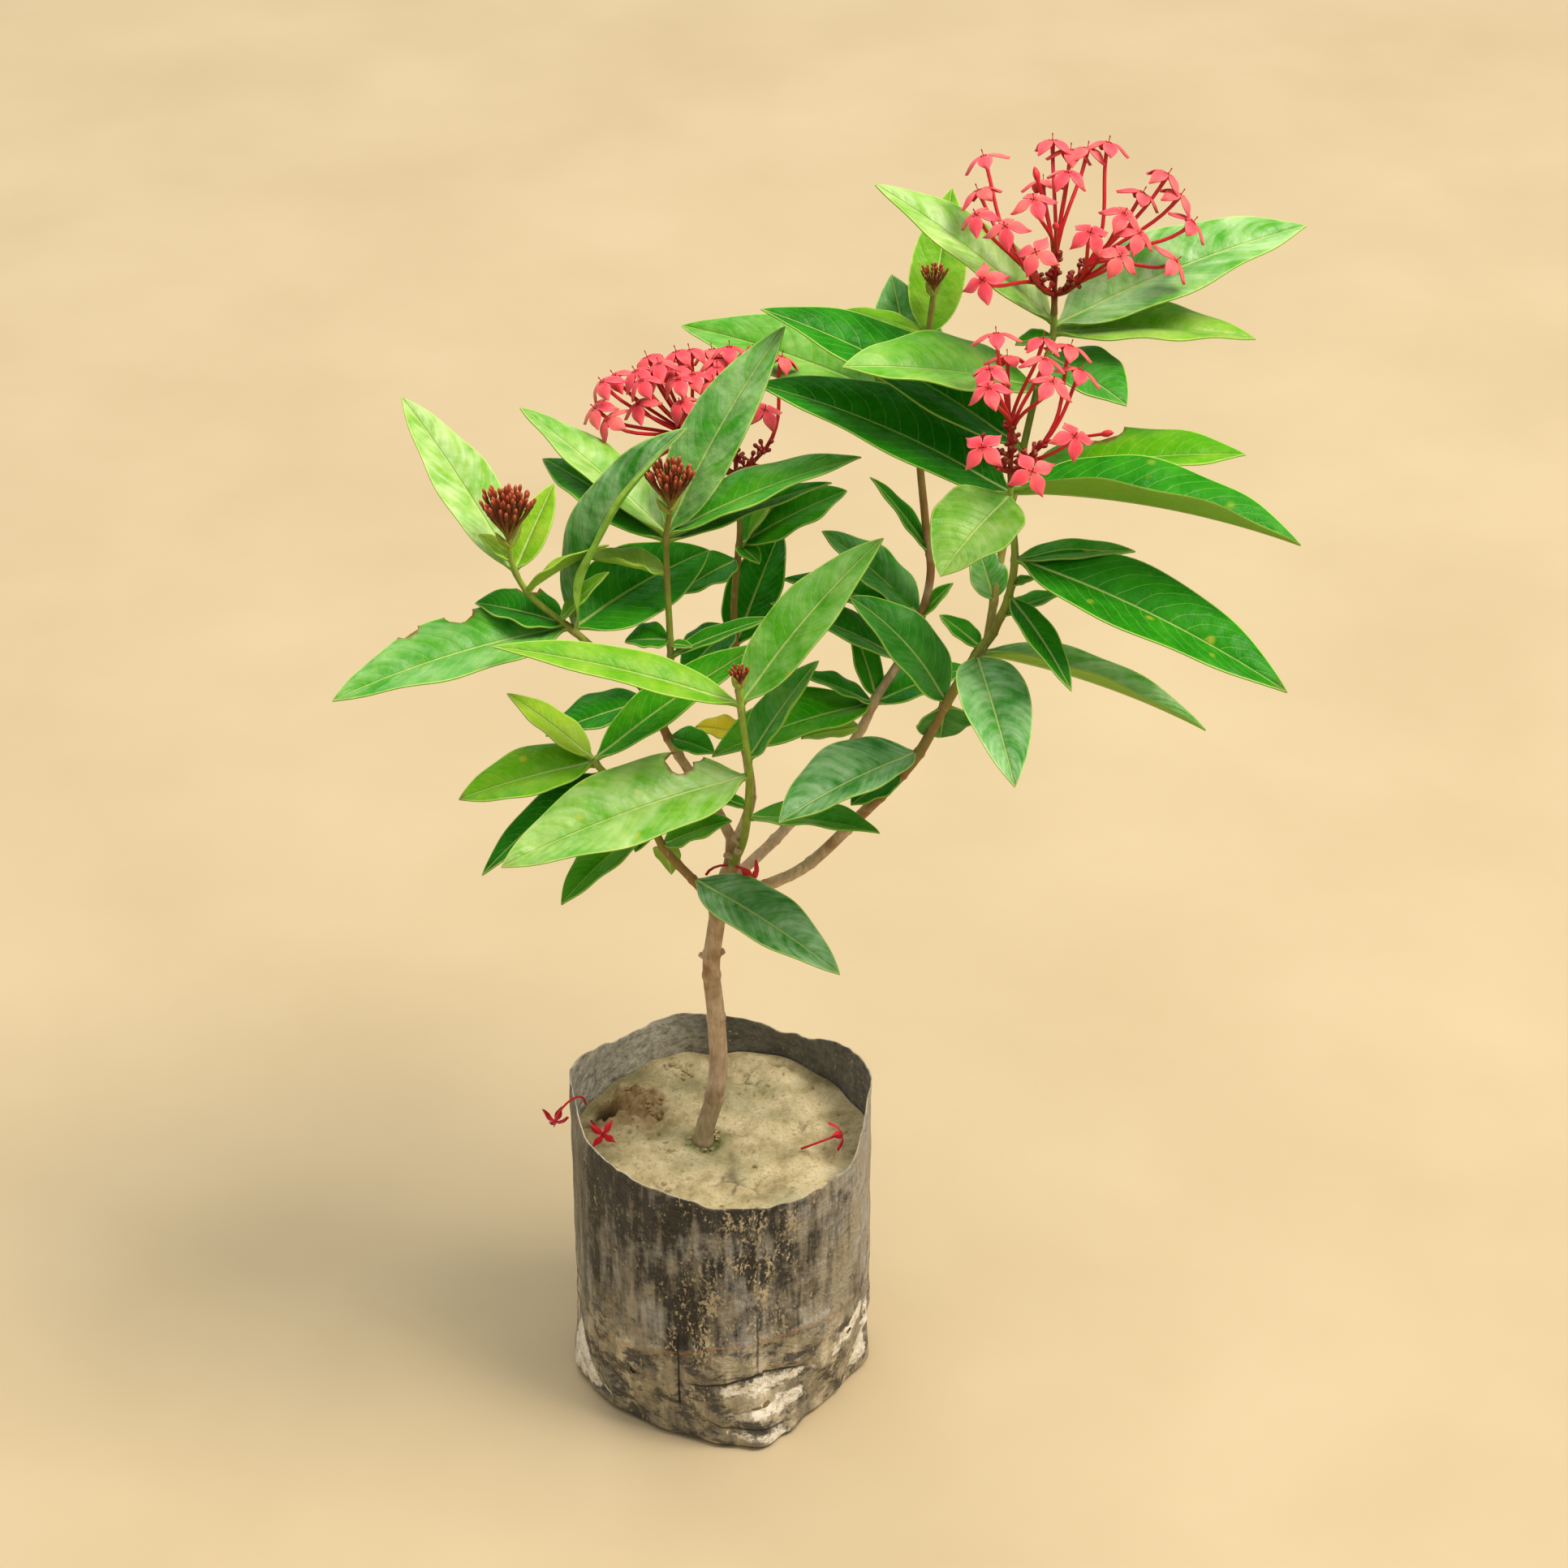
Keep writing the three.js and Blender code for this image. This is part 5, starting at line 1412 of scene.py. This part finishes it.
# %% Film finish
film_finish, tree, shader = start_finish("black_polythene_film", IOR=1.48,
                                         Specular_IOR_Level=0.45)
film = add(tree, "Attribute", out=1, attribute_name="film")
wear = add(tree, "Attribute", out=1, attribute_name="wear")
crease_shade = add(tree, "Attribute", out=1, attribute_name="crease_shade")
below_rim, height, side = [add(tree, "SeparateXYZ", {0: film}, out=k) for k in range(3)]
chalk, grit, rust = [add(tree, "SeparateXYZ", {0: wear}, out=k) for k in range(3)]
crease_side, crease_shade_share = [add(tree, "SeparateXYZ", {0: crease_shade}, out=k) for k in range(2)]
spot3d = add(tree, "TexCoord", out=OBJECT)
upright = add(tree, "Mapping", {0: spot3d, 3: (1, 1, 0.35)})
level = add(tree, "Mapping", {0: spot3d, 2: (0.25, 0.35, 0), 3: (0.85, 0.85, 1.25)})
broad = add(tree, "TexNoise", {"Vector": spot3d, "Scale": apart(33.3), "Detail": 5,
                               "Roughness": 0.62})
cloud = add(tree, "TexNoise", {"Vector": upright, "Scale": apart(13.3), "Detail": 5,
                               "Roughness": 0.65})
smear = add(tree, "TexNoise", {"Vector": level, "Scale": apart(5.26), "Detail": 6,
                               "Roughness": 0.75})
runs = add(tree, "Mapping", {0: spot3d, 3: (1, 1, 0.12)})
runs = add(tree, "TexNoise", {"Vector": runs, "Scale": apart(4.76), "Detail": 4, "Roughness": 0.6})
black = add(tree, "ValToRGB", {0: cloud}, stops=[(0.38, "#0f0f10"), (0.66, "#303034")])
# Dust and sheen: a thin veil of dust, brown-grey on the left and towards the base; its cool grey
# streaks and the thicker veil on the right side, where the light falls, are painted sheen of the
# light on the film.
rightward = add(tree, "SeparateXYZ", {0: spot3d}, out=0)
lit_side = add(tree, "MapRange", {"Value": rightward, "From Min": 0.02, "From Max": 0.075,
                                  "To Min": 0, "To Max": 0.46})
veil_and_sheen = add(tree, "MapRange", {"Value": height, "From Min": 45, "From Max": 165,
                              "To Min": 0.3, "To Max": -0.02})
veil_and_sheen = add(tree, "Math", {0: veil_and_sheen, 1: lit_side}, operation="MAXIMUM")
for pattern, weight in ((broad, 0.9), (cloud, 0.7), (smear, 0.7), (runs, 1.1)):
    veil_and_sheen = add(tree, "Math", {0: pattern, 1: weight, 2: veil_and_sheen}, operation="MULTIPLY_ADD")
veil_and_sheen_share = add(tree, "MapRange", {"Value": veil_and_sheen, "From Min": 1.72, "From Max": 2.12,
                                    "To Min": 0.0, "To Max": 0.95})
outside = add(tree, "Math", {0: side, 1: 0.0}, operation="GREATER_THAN")
veil_and_sheen_share = add(tree, "Math", {0: veil_and_sheen_share, 1: outside}, operation="MULTIPLY")
hue = add(tree, "TexNoise", {"Vector": spot3d, "Scale": apart(23.8), "Detail": 3, "W": 3.0},
          noise_dimensions="4D")
# The colours of the veil: brown-grey dust, and a cool grey that is painted sheen.
dust_and_sheen = add(tree, "ValToRGB", {0: hue}, stops=[
    (0.4, "#9c927c"), (0.62, "#aaa79f"), (0.52, "#a39b8c")])
# The folded base is scuffed: dry mud over all of it, and blotches where it stayed black.
low = add(tree, "MapRange", {"Value": height, "From Min": 52, "From Max": 84,
                             "To Min": 0.34, "To Max": 0.0})
scuff = low
for pattern in (smear, broad):
    scuff = add(tree, "Math", {0: pattern, 1: 0.7, 2: scuff}, operation="MULTIPLY_ADD")
scuff_share = add(tree, "MapRange", {"Value": scuff, "From Min": 0.84, "From Max": 1.06,
                                     "To Min": 0, "To Max": 0.88})
mud_hue = add(tree, "ValToRGB", {0: cloud}, stops=[
    (0.38, "#7d7668"), (0.62, "#cdc0a4"), (0.5, "#a09478")])
smudge = add(tree, "TexNoise", {"Vector": level, "Scale": apart(16.1), "Detail": 7,
                                "Roughness": 0.72})
smudge = add(tree, "Math", {0: low, 1: 0.3, 2: smudge}, operation="MULTIPLY_ADD")
smudge = add(tree, "MapRange", {"Value": smudge, "From Min": 0.585, "From Max": 0.67,
                                "To Min": 0, "To Max": 0.85})
print("film finish so far:", len(tree.nodes), "nodes")

# %% [markdown]
# ### Grit, chalk and painted crease shade
# Flecks of dried mud one to three millimetres long are splashed upright on the film and crowd
# together half way up. The film's own maps say where it is chalky or rusty, and where shade is
# painted along a crease.

# %% Film grit, chalk and painted crease shade
fleck = add(tree, "Mapping", {0: spot3d, 2: (0.1, 0.2, 0.3), 3: (1.15, 1.15, 0.7)})
fleck = add(tree, "TexNoise", {"Vector": fleck, "Scale": apart(1.786), "Detail": 4,
                               "Roughness": 0.62,
                               "Distortion": 0.2})
crowd = add(tree, "TexNoise", {"Vector": upright, "Scale": apart(9.1), "Detail": 4,
                               "Roughness": 0.6})
fleck = add(tree, "Math", {0: crowd, 1: 0.8, 2: fleck}, operation="MULTIPLY_ADD")
fleck = add(tree, "Math", {0: grit, 1: 0.13, 2: fleck}, operation="MULTIPLY_ADD")
fleck = add(tree, "MapRange", {"Value": fleck, "From Min": 1.05, "From Max": 1.14,
                               "To Min": 0, "To Max": 1})
dots = add(tree, "TexVoronoi", {"Vector": spot3d, "Scale": apart(3.85)})
dots = add(tree, "MapRange", {"Value": dots, "From Min": 0.13, "From Max": 0.24,
                              "To Min": 0.8, "To Max": 0})
lucky = add(tree, "TexVoronoi", {"Vector": spot3d, "Scale": apart(3.85)}, out=1)
lucky = add(tree, "SeparateColor", {0: lucky}, out=0)
lucky = add(tree, "Math", {0: grit, 1: 0.12, 2: lucky}, operation="MULTIPLY_ADD")
lucky = add(tree, "Math", {0: lucky, 1: 0.88}, operation="GREATER_THAN")
dots = add(tree, "Math", {0: dots, 1: lucky}, operation="MULTIPLY")
crust = add(tree, "Math", {0: fleck, 1: dots}, operation="MAXIMUM")
crust = add(tree, "Math", {0: crust, 1: 0.85}, operation="MULTIPLY")
crust_hue = add(tree, "ValToRGB", {0: broad}, stops=[(0.4, "#c7b593"), (0.6, "#a79a80")])
rusty = add(tree, "Math", {0: rust, 1: smear}, operation="MULTIPLY")
rusty = add(tree, "MapRange", {"Value": rusty, "From Min": 0.22, "From Max": 0.52,
                               "To Min": 0, "To Max": 0.75})
# Chalky white places: the map holds how far inside one a spot is, in mm.
ragged = add(tree, "Math", {0: smear, 1: 0.5}, operation="SUBTRACT")
chalky = add(tree, "Math", {0: ragged, 1: 13.0, 2: chalk}, operation="MULTIPLY_ADD")
torn = add(tree, "Math", {0: cloud, 1: 0.5}, operation="SUBTRACT")
chalky = add(tree, "Math", {0: torn, 1: 16.0, 2: chalky}, operation="MULTIPLY_ADD")
chalky = add(tree, "MapRange", {"Value": chalky, "From Min": -0.6, "From Max": 1.6,
                                "To Min": 0, "To Max": 0.95})
white = add(tree, "ValToRGB", {0: smear}, stops=[(0.36, "#c4b698"), (0.52, "#f1eadb")])
# Painted shade along the creases: the map holds how far to one side of the line a spot is, in mm,
# and how dark the shade is painted.
off_crease = add(tree, "Math", {0: crease_side}, operation="ABSOLUTE")
painted_crease_shade = add(tree, "MapRange", {"Value": off_crease, "From Min": 0.3, "From Max": 1.0,
                                "To Min": 1, "To Max": 0})
painted_crease_shade = add(tree, "Math", {0: painted_crease_shade, 1: crease_shade_share}, operation="MULTIPLY")
print("film finish so far:", len(tree.nodes), "nodes")

# %% [markdown]
# ### Inside, edge and relief
# Inside the bag dust has washed down in level bands, and on the left inner wall, which faces the
# light, these bands are painted paler as the light's reflection. The torn edge is pale with dust
# and a painted highlight where the light catches it. Where the dust lies thick the film is dull,
# and elsewhere it keeps some of its gloss.

# %% Film inside, edge and relief
inner = add(tree, "Math", {0: side, 1: 0.0}, operation="LESS_THAN")
# Dust bands inside the bag; on the left inner wall, which faces the light, they are painted paler
# as the light's reflection.
washed_dust_and_reflection = add(tree, "MapRange", {"Value": smear, "From Min": 0.35, "From Max": 0.6,
                                "To Min": 0.3, "To Max": 0.95})
lit_inner_side = add(tree, "MapRange", {"Value": rightward, "From Min": -0.04, "From Max": 0.0,
                                    "To Min": 1, "To Max": 0.22})
washed_dust_and_reflection = add(tree, "Math", {0: washed_dust_and_reflection, 1: inner}, operation="MULTIPLY")
washed_dust_and_reflection = add(tree, "Math", {0: washed_dust_and_reflection, 1: lit_inner_side}, operation="MULTIPLY")
# The torn edge: a thin pale line of dust together with a painted highlight where the light catches
# it.
edge = add(tree, "MapRange", {"Value": below_rim, "From Min": 0.2, "From Max": 1.3,
                              "To Min": 1.0, "To Max": 0})
frayed = add(tree, "MapRange", {"Value": cloud, "From Min": 0.48, "From Max": 0.6,
                                "To Min": 0.05, "To Max": 0.55})
edge = add(tree, "Math", {0: edge, 1: frayed}, operation="MULTIPLY")
# The coats lie on the black film from the oldest to the newest. The veil's sheen, the crease
# shade, the paler left inner wall and part of the pale edge are painted light.
skin = black
for mark, coat in ((veil_and_sheen_share, dust_and_sheen), (scuff_share, mud_hue), (smudge, "#2c2b2d"),
                   (crust, crust_hue), (rusty, "#a97c50"), (chalky, white),
                   (painted_crease_shade, "#131314"), (washed_dust_and_reflection, "#ebe6d6"), (edge, "#c4b48f")):
    skin = add(tree, MIX, {FACTOR: mark, A: skin, B: coat}, out=MIXED, data_type="RGBA")
tree.links.new(skin, shader.inputs["Base Color"])
dull = add(tree, "MapRange", {"Value": veil_and_sheen, "From Min": 1.76, "From Max": 2.1,
                              "To Min": 0.36, "To Max": 0.75})
tree.links.new(dull, shader.inputs["Roughness"])
relief = add(tree, "Math", {0: smear, 1: 0.5, 2: crust}, operation="MULTIPLY_ADD")
wrinkle = add(tree, "TexNoise", {"Vector": spot3d, "Scale": apart(10.5),
                                 "Detail": 3, "Distortion": 1.5})
relief = add(tree, "Math", {0: wrinkle, 1: 3.0, 2: relief}, operation="MULTIPLY_ADD")
bump = add(tree, "Bump", {"Height": relief, "Strength": 0.7, "Distance": 0.0009})
tree.links.new(bump, shader.inputs["Normal"])
print("film finish:", len(tree.nodes), "nodes")

# %% [markdown]
# ## Plan of the folds and the chalk
# Creases and ridges are lines on the film that push it in or out, and along the darkened creases
# shade is painted as a dark line. Chalky places are lines too, with a width at each end. All are
# written as headings round the bag and heights up it.

# %% Plan of the folds and the chalk
# Folds of the film: points as (degrees, height), how far it moves out, width, painted shade, rust.
FOLDS = [
    ([(253, 78), (253.5, 63), (253, 18)], -1.0, 1.5, 0.95, 0.0),
    ([(284.5, 92), (284.5, 70), (284, 44)], -0.7, 1.3, 0.7, 0.0),
    ([(281, 158), (279, 120), (283, 95)], -0.4, 1.2, 0.25, 0.0),
    ([(213, 52), (232, 58), (253, 63), (267, 71), (290, 71), (307, 73), (325, 71), (341, 66)],
     1.1, 2.6, 0.0, 0.9),
    ([(306, 64), (316, 54)], 0.8, 1.0, 0.0, 1.2),
    ([(302, 59), (310, 50)], 0.8, 1.0, 0.0, 1.0),
    ([(254, 42), (265, 44), (277, 47), (287, 48.5), (297, 47), (308, 44)], -1.2, 2.0, 0.95, 0.0),
    ([(258, 60), (270, 55), (284, 52)], -0.6, 2.4, 0.3, 0.0),
    ([(226, 90), (217, 60), (216, 34), (222, 14)], 1.3, 4.0, 0.0, 0.2),
    ([(203, 60), (212, 40), (226, 22)], -1.2, 4.0, 0.0, 0.0),
    ([(262, 20), (270, 15), (284, 14), (298, 10)], -0.9, 2.6, 0.8, 0.0),
    ([(266, 30), (276, 24), (288, 27)], -1.0, 2.6, 0.35, 0.0),
    ([(312, 40), (322, 22), (330, 6)], 1.1, 3.5, 0.0, 0.0),
    ([(233, 45), (243, 43)], 1.0, 2.0, 0.0, 0.2),
    ([(343, 64), (347, 52), (345, 38)], 2.6, 5.0, 0.0, 0.0),
    ([(196, 34), (204, 22), (214, 12)], -1.6, 3.2, 0.35, 0.0),
    ([(60, 60), (90, 66), (120, 60)], 1.0, 3.5, 0.0, 0.6),
    ([(75, 55), (75, 15)], -0.9, 1.7, 0.8, 0.0),
    ([(150, 62), (140, 30), (155, 8)], 0.9, 4.0, 0.0, 0.2)]
# Chalky places: two ends as (degrees, height), half width in mm at each end.
CHALK = [((192, 40), (198, 15), 2.5, 11), ((198, 15), (222, 13), 11, 1.5),
         ((266, 42), (283, 40), 0.6, 5), ((283, 40), (306, 43), 5, 0.6),
         ((273, 11), (284, 8.5), 1, 3.4), ((284, 8.5), (296, 3), 3.4, 2.4),
         ((284, 23), (301, 28), 1.5, 5), ((346, 46), (343, 18), 5, 9),
         ((320, 44), (338, 54), 2, 7), ((100, 6), (112, 14), 9, 5),
         ((20, 10), (30, 30), 5, 8), ((163, 8), (172, 16), 7, 4)]
print(len(FOLDS), "folds,", len(CHALK), "chalky places")

# %% [markdown]
# ## What the film is like at one place
# One function says how far the film stands out at a place on the wall, how chalky, gritty and
# rusty it is there, and how much shade is painted along a crease. The rim is torn, so its height
# varies a little more than the table says.

# %% A place on the film
TURN = 2 * math.pi * BAG_RADIUS / 360      # mm of wall to a degree
FOLD_REACH, CHALK_REACH = 9, 18            # as far as a fold or a chalky place is looked for


def torn_rim(degrees):
    """Height of the rim, with small tears that meet where the turn is closed."""
    turn = math.radians(degrees)
    on_ring = Vector((math.cos(turn), math.sin(turn), 0))
    return around(RIM, degrees) + 1.5 * noise.noise(9 * on_ring)


def line_place(spot, a, b):
    """How far along the line from a to b the spot is, its distance in mm, and on which side."""
    a, b = Vector((a[0] * TURN, a[1])), Vector((b[0] * TURN, b[1]))
    t = min(max((spot - a).dot(b - a) / (b - a).length_squared, 0), 1)
    return t, (a.lerp(b, t) - spot).length, math.copysign(1, (b - a).cross(spot - a))


def near(points, degrees, z, reach):
    """Whether a place is within reach of the box round these points."""
    across, up = [p[0] for p in points], [p[1] for p in points]
    return (min(across) - reach < degrees < max(across) + reach
            and min(up) - reach < z < max(up) + reach)


def film_point(degrees, z):
    """How far the film stands out, and its chalk, grit, rust and painted crease shade, at a place
    on the wall.
    """
    spot = Vector((degrees * TURN, z))
    turn = math.radians(degrees)
    p = Vector((math.cos(turn) * BAG_RADIUS, math.sin(turn) * BAG_RADIUS, z))
    low = 1 - smooth(z, 40, 80)
    out = (0.7 * noise.noise(p / 16) + low * 0.9 * noise.fractal(p / 12 + UP * 9, 1.0, 2.0, 3)
           + 0.35 * noise.noise(Vector((p.x / 5, p.y / 5, p.z / 30))))
    rust, crease_shade = 0, (FOLD_REACH, 0)
    for points, push, width, painted_shade, rustiness in FOLDS:
        if not near(points, degrees, z, FOLD_REACH):
            continue
        places = [line_place(spot, a, b) for a, b in zip(points, points[1:])]
        _, far, way = min(places, key=lambda place: place[1])
        if far < FOLD_REACH:
            out += push * math.exp(-(far / (0.7 * width)) ** 2)
            rust = max(rust, rustiness * math.exp(-(far / (0.6 * width)) ** 2))
            # A darkened crease gets painted shade along its line, fading towards its ends.
            if painted_shade and far < abs(crease_shade[0]):
                ends = min((spot - Vector((a * TURN, b))).length for a, b in
                           (points[0], points[-1]))
                crease_shade = (far * way, painted_shade * smooth(ends, 1, 9))
    # The front flap of the folded base stands out from the wall beside it.
    if 253 < degrees < 286 and 22 < z < 72:
        out += 0.8 * smooth(degrees, 253, 254.5) * (1 - smooth(z, 69, 72)) * smooth(z, 22, 34)
    chalk = -9
    for a, b, wide_a, wide_b in CHALK:
        if not near((a, b), degrees, z, CHALK_REACH):
            continue
        t, far, _ = line_place(spot, a, b)
        chalk = max(chalk, wide_a + (wide_b - wide_a) * t - far)
    grit = (math.exp(-((degrees - 279) / 24) ** 2) * smooth(z, 50, 75) * (1 - smooth(z, 145, 175))
            + 0.35 * noise.noise(p / 28 + UP * 4) + 0.12)
    return out, (chalk, max(grit, 0), rust), (*crease_shade, 0)


print("rim at the front:", round(torn_rim(270), 1), "mm")

# %% [markdown]
# ## Grow bag
# The bag starts as one flat sheet of film, in millimetres round and up. The drain holes are cut
# while it is flat. Then it is extruded thin and rolled: the lower rows become the folded floor,
# and the upper ones the wall.

# %% Grow bag
FILM = 0.7
WALL_COLUMNS, WALL_ROWS, FLOOR_ROWS = 320, 80, 6
FLOOR_ROW = 12                             # mm of the flat sheet for each row of the floor
# Drain holes: heading, height and radius.
DRAINS = [(233, 40, 2.6), (329, 48, 2.2), (60, 42, 2.6), (140, 40, 2.6)]
rng = random.Random("bag")
bm = new_mesh("film", "wear", "crease_shade")
film_layer, wear_layer, crease_shade_layer = [bm.verts.layers.float_vector[key]
                                      for key in ("film", "wear", "crease_shade")]
bmesh.ops.create_grid(bm, x_segments=WALL_COLUMNS, y_segments=WALL_ROWS + FLOOR_ROWS, size=0.5)
for v in bm.verts:
    degrees = 360 * (v.co.x + 0.5)
    row = round((v.co.y + 0.5) * (WALL_ROWS + FLOOR_ROWS)) - FLOOR_ROWS
    # Row 0 is the base's lower edge; the floor's rows lie below it, and reach the middle.
    step = torn_rim(degrees) / WALL_ROWS if row > 0 else FLOOR_ROW
    v.co = Vector((degrees * TURN, row * step, 0))
for degrees, z, radius in DRAINS:
    cut_bite(bm, list(bm.faces), Vector((degrees * TURN, z, 0)), radius, rng)
made = bmesh.ops.extrude_face_region(bm, geom=list(bm.faces))
inside = {g for g in made["geom"] if isinstance(g, bmesh.types.BMVert)}
# The sheet's two ends meet when it is rolled, so their walls go before that.
ends = [f for f in bm.faces
        if min(abs(v.co.x - 180 * TURN) for v in f.verts) > 179.99 * TURN]
bmesh.ops.delete(bm, geom=ends, context="FACES")
for v in bm.verts:
    degrees, z = v.co.x / TURN, v.co.y
    inset = FILM if v in inside else 0
    out, worn, crease_shade = film_point(degrees, max(z, 0))
    if z >= 0:
        out = min(out, 0) if z < 1 else out
        v.co = on_bag(degrees, z, inset - out * smooth(z, 0, 6))
        v.co.z += inset * (1 - smooth(z, 0, 4))
    else:
        v.co = on_bag(degrees, 0, 0) * (1 + z / (FLOOR_ROW * FLOOR_ROWS)) + UP * inset
    # The third value of the film's map tells the inner wall from the outer.
    v[film_layer] = (torn_rim(degrees) - z, z, -1 if v in inside else 1)
    v[wear_layer] = worn if v not in inside else (-9, 0, 0)
    v[crease_shade_layer] = crease_shade if v not in inside else (FOLD_REACH, 0, 0)
bmesh.ops.remove_doubles(bm, verts=bm.verts, dist=0.01)
# Where the floor's rows meet in its middle, the film's edge shrinks to one bare edge.
loose = [e for e in bm.edges if not e.link_faces]
bmesh.ops.delete(bm, geom=loose, context="EDGES")
finish_piece(bm, "bag_film", film_finish, "bag_film", "grow_bag")

# %% [markdown]
# ## Two caught florets
# A third floret has caught on the bag's rim and hangs over it by its dried tube, and a fourth is
# caught in the fork of the trunk.

# %% Two caught florets
rng = random.Random("litter")
petals, stalks = new_mesh("petal"), new_mesh("stalk")
grow_floret(petals, stalks, Vector((-69, -11, 176)), direction(170, 84) * 1.9,
            Vector((-85, -13, 167)), direction(190, -80), 20, 1.3, 2.7, rng)
finish_flower(petals, stalks, "caught_petals", "caught_tube", "fallen_floret_left")
petals, stalks = new_mesh("petal"), new_mesh("stalk")
grow_floret(petals, stalks, Vector((-6, -5, 316)), direction(30, 60),
            Vector((17, -8, 317)), direction(-60, -20), 45, 1.5, 1.8, rng)
finish_flower(petals, stalks, "forked_petals", "forked_tube", "trunk")

# %% [markdown]
# ## Finish
# The overall size is printed again, the CAD's box beside the visual model's.

# %% Finish
size = {"cad": [list(p) for p in CAD_BOX], "visual": [list(p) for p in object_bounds()]}
print("size:", size)
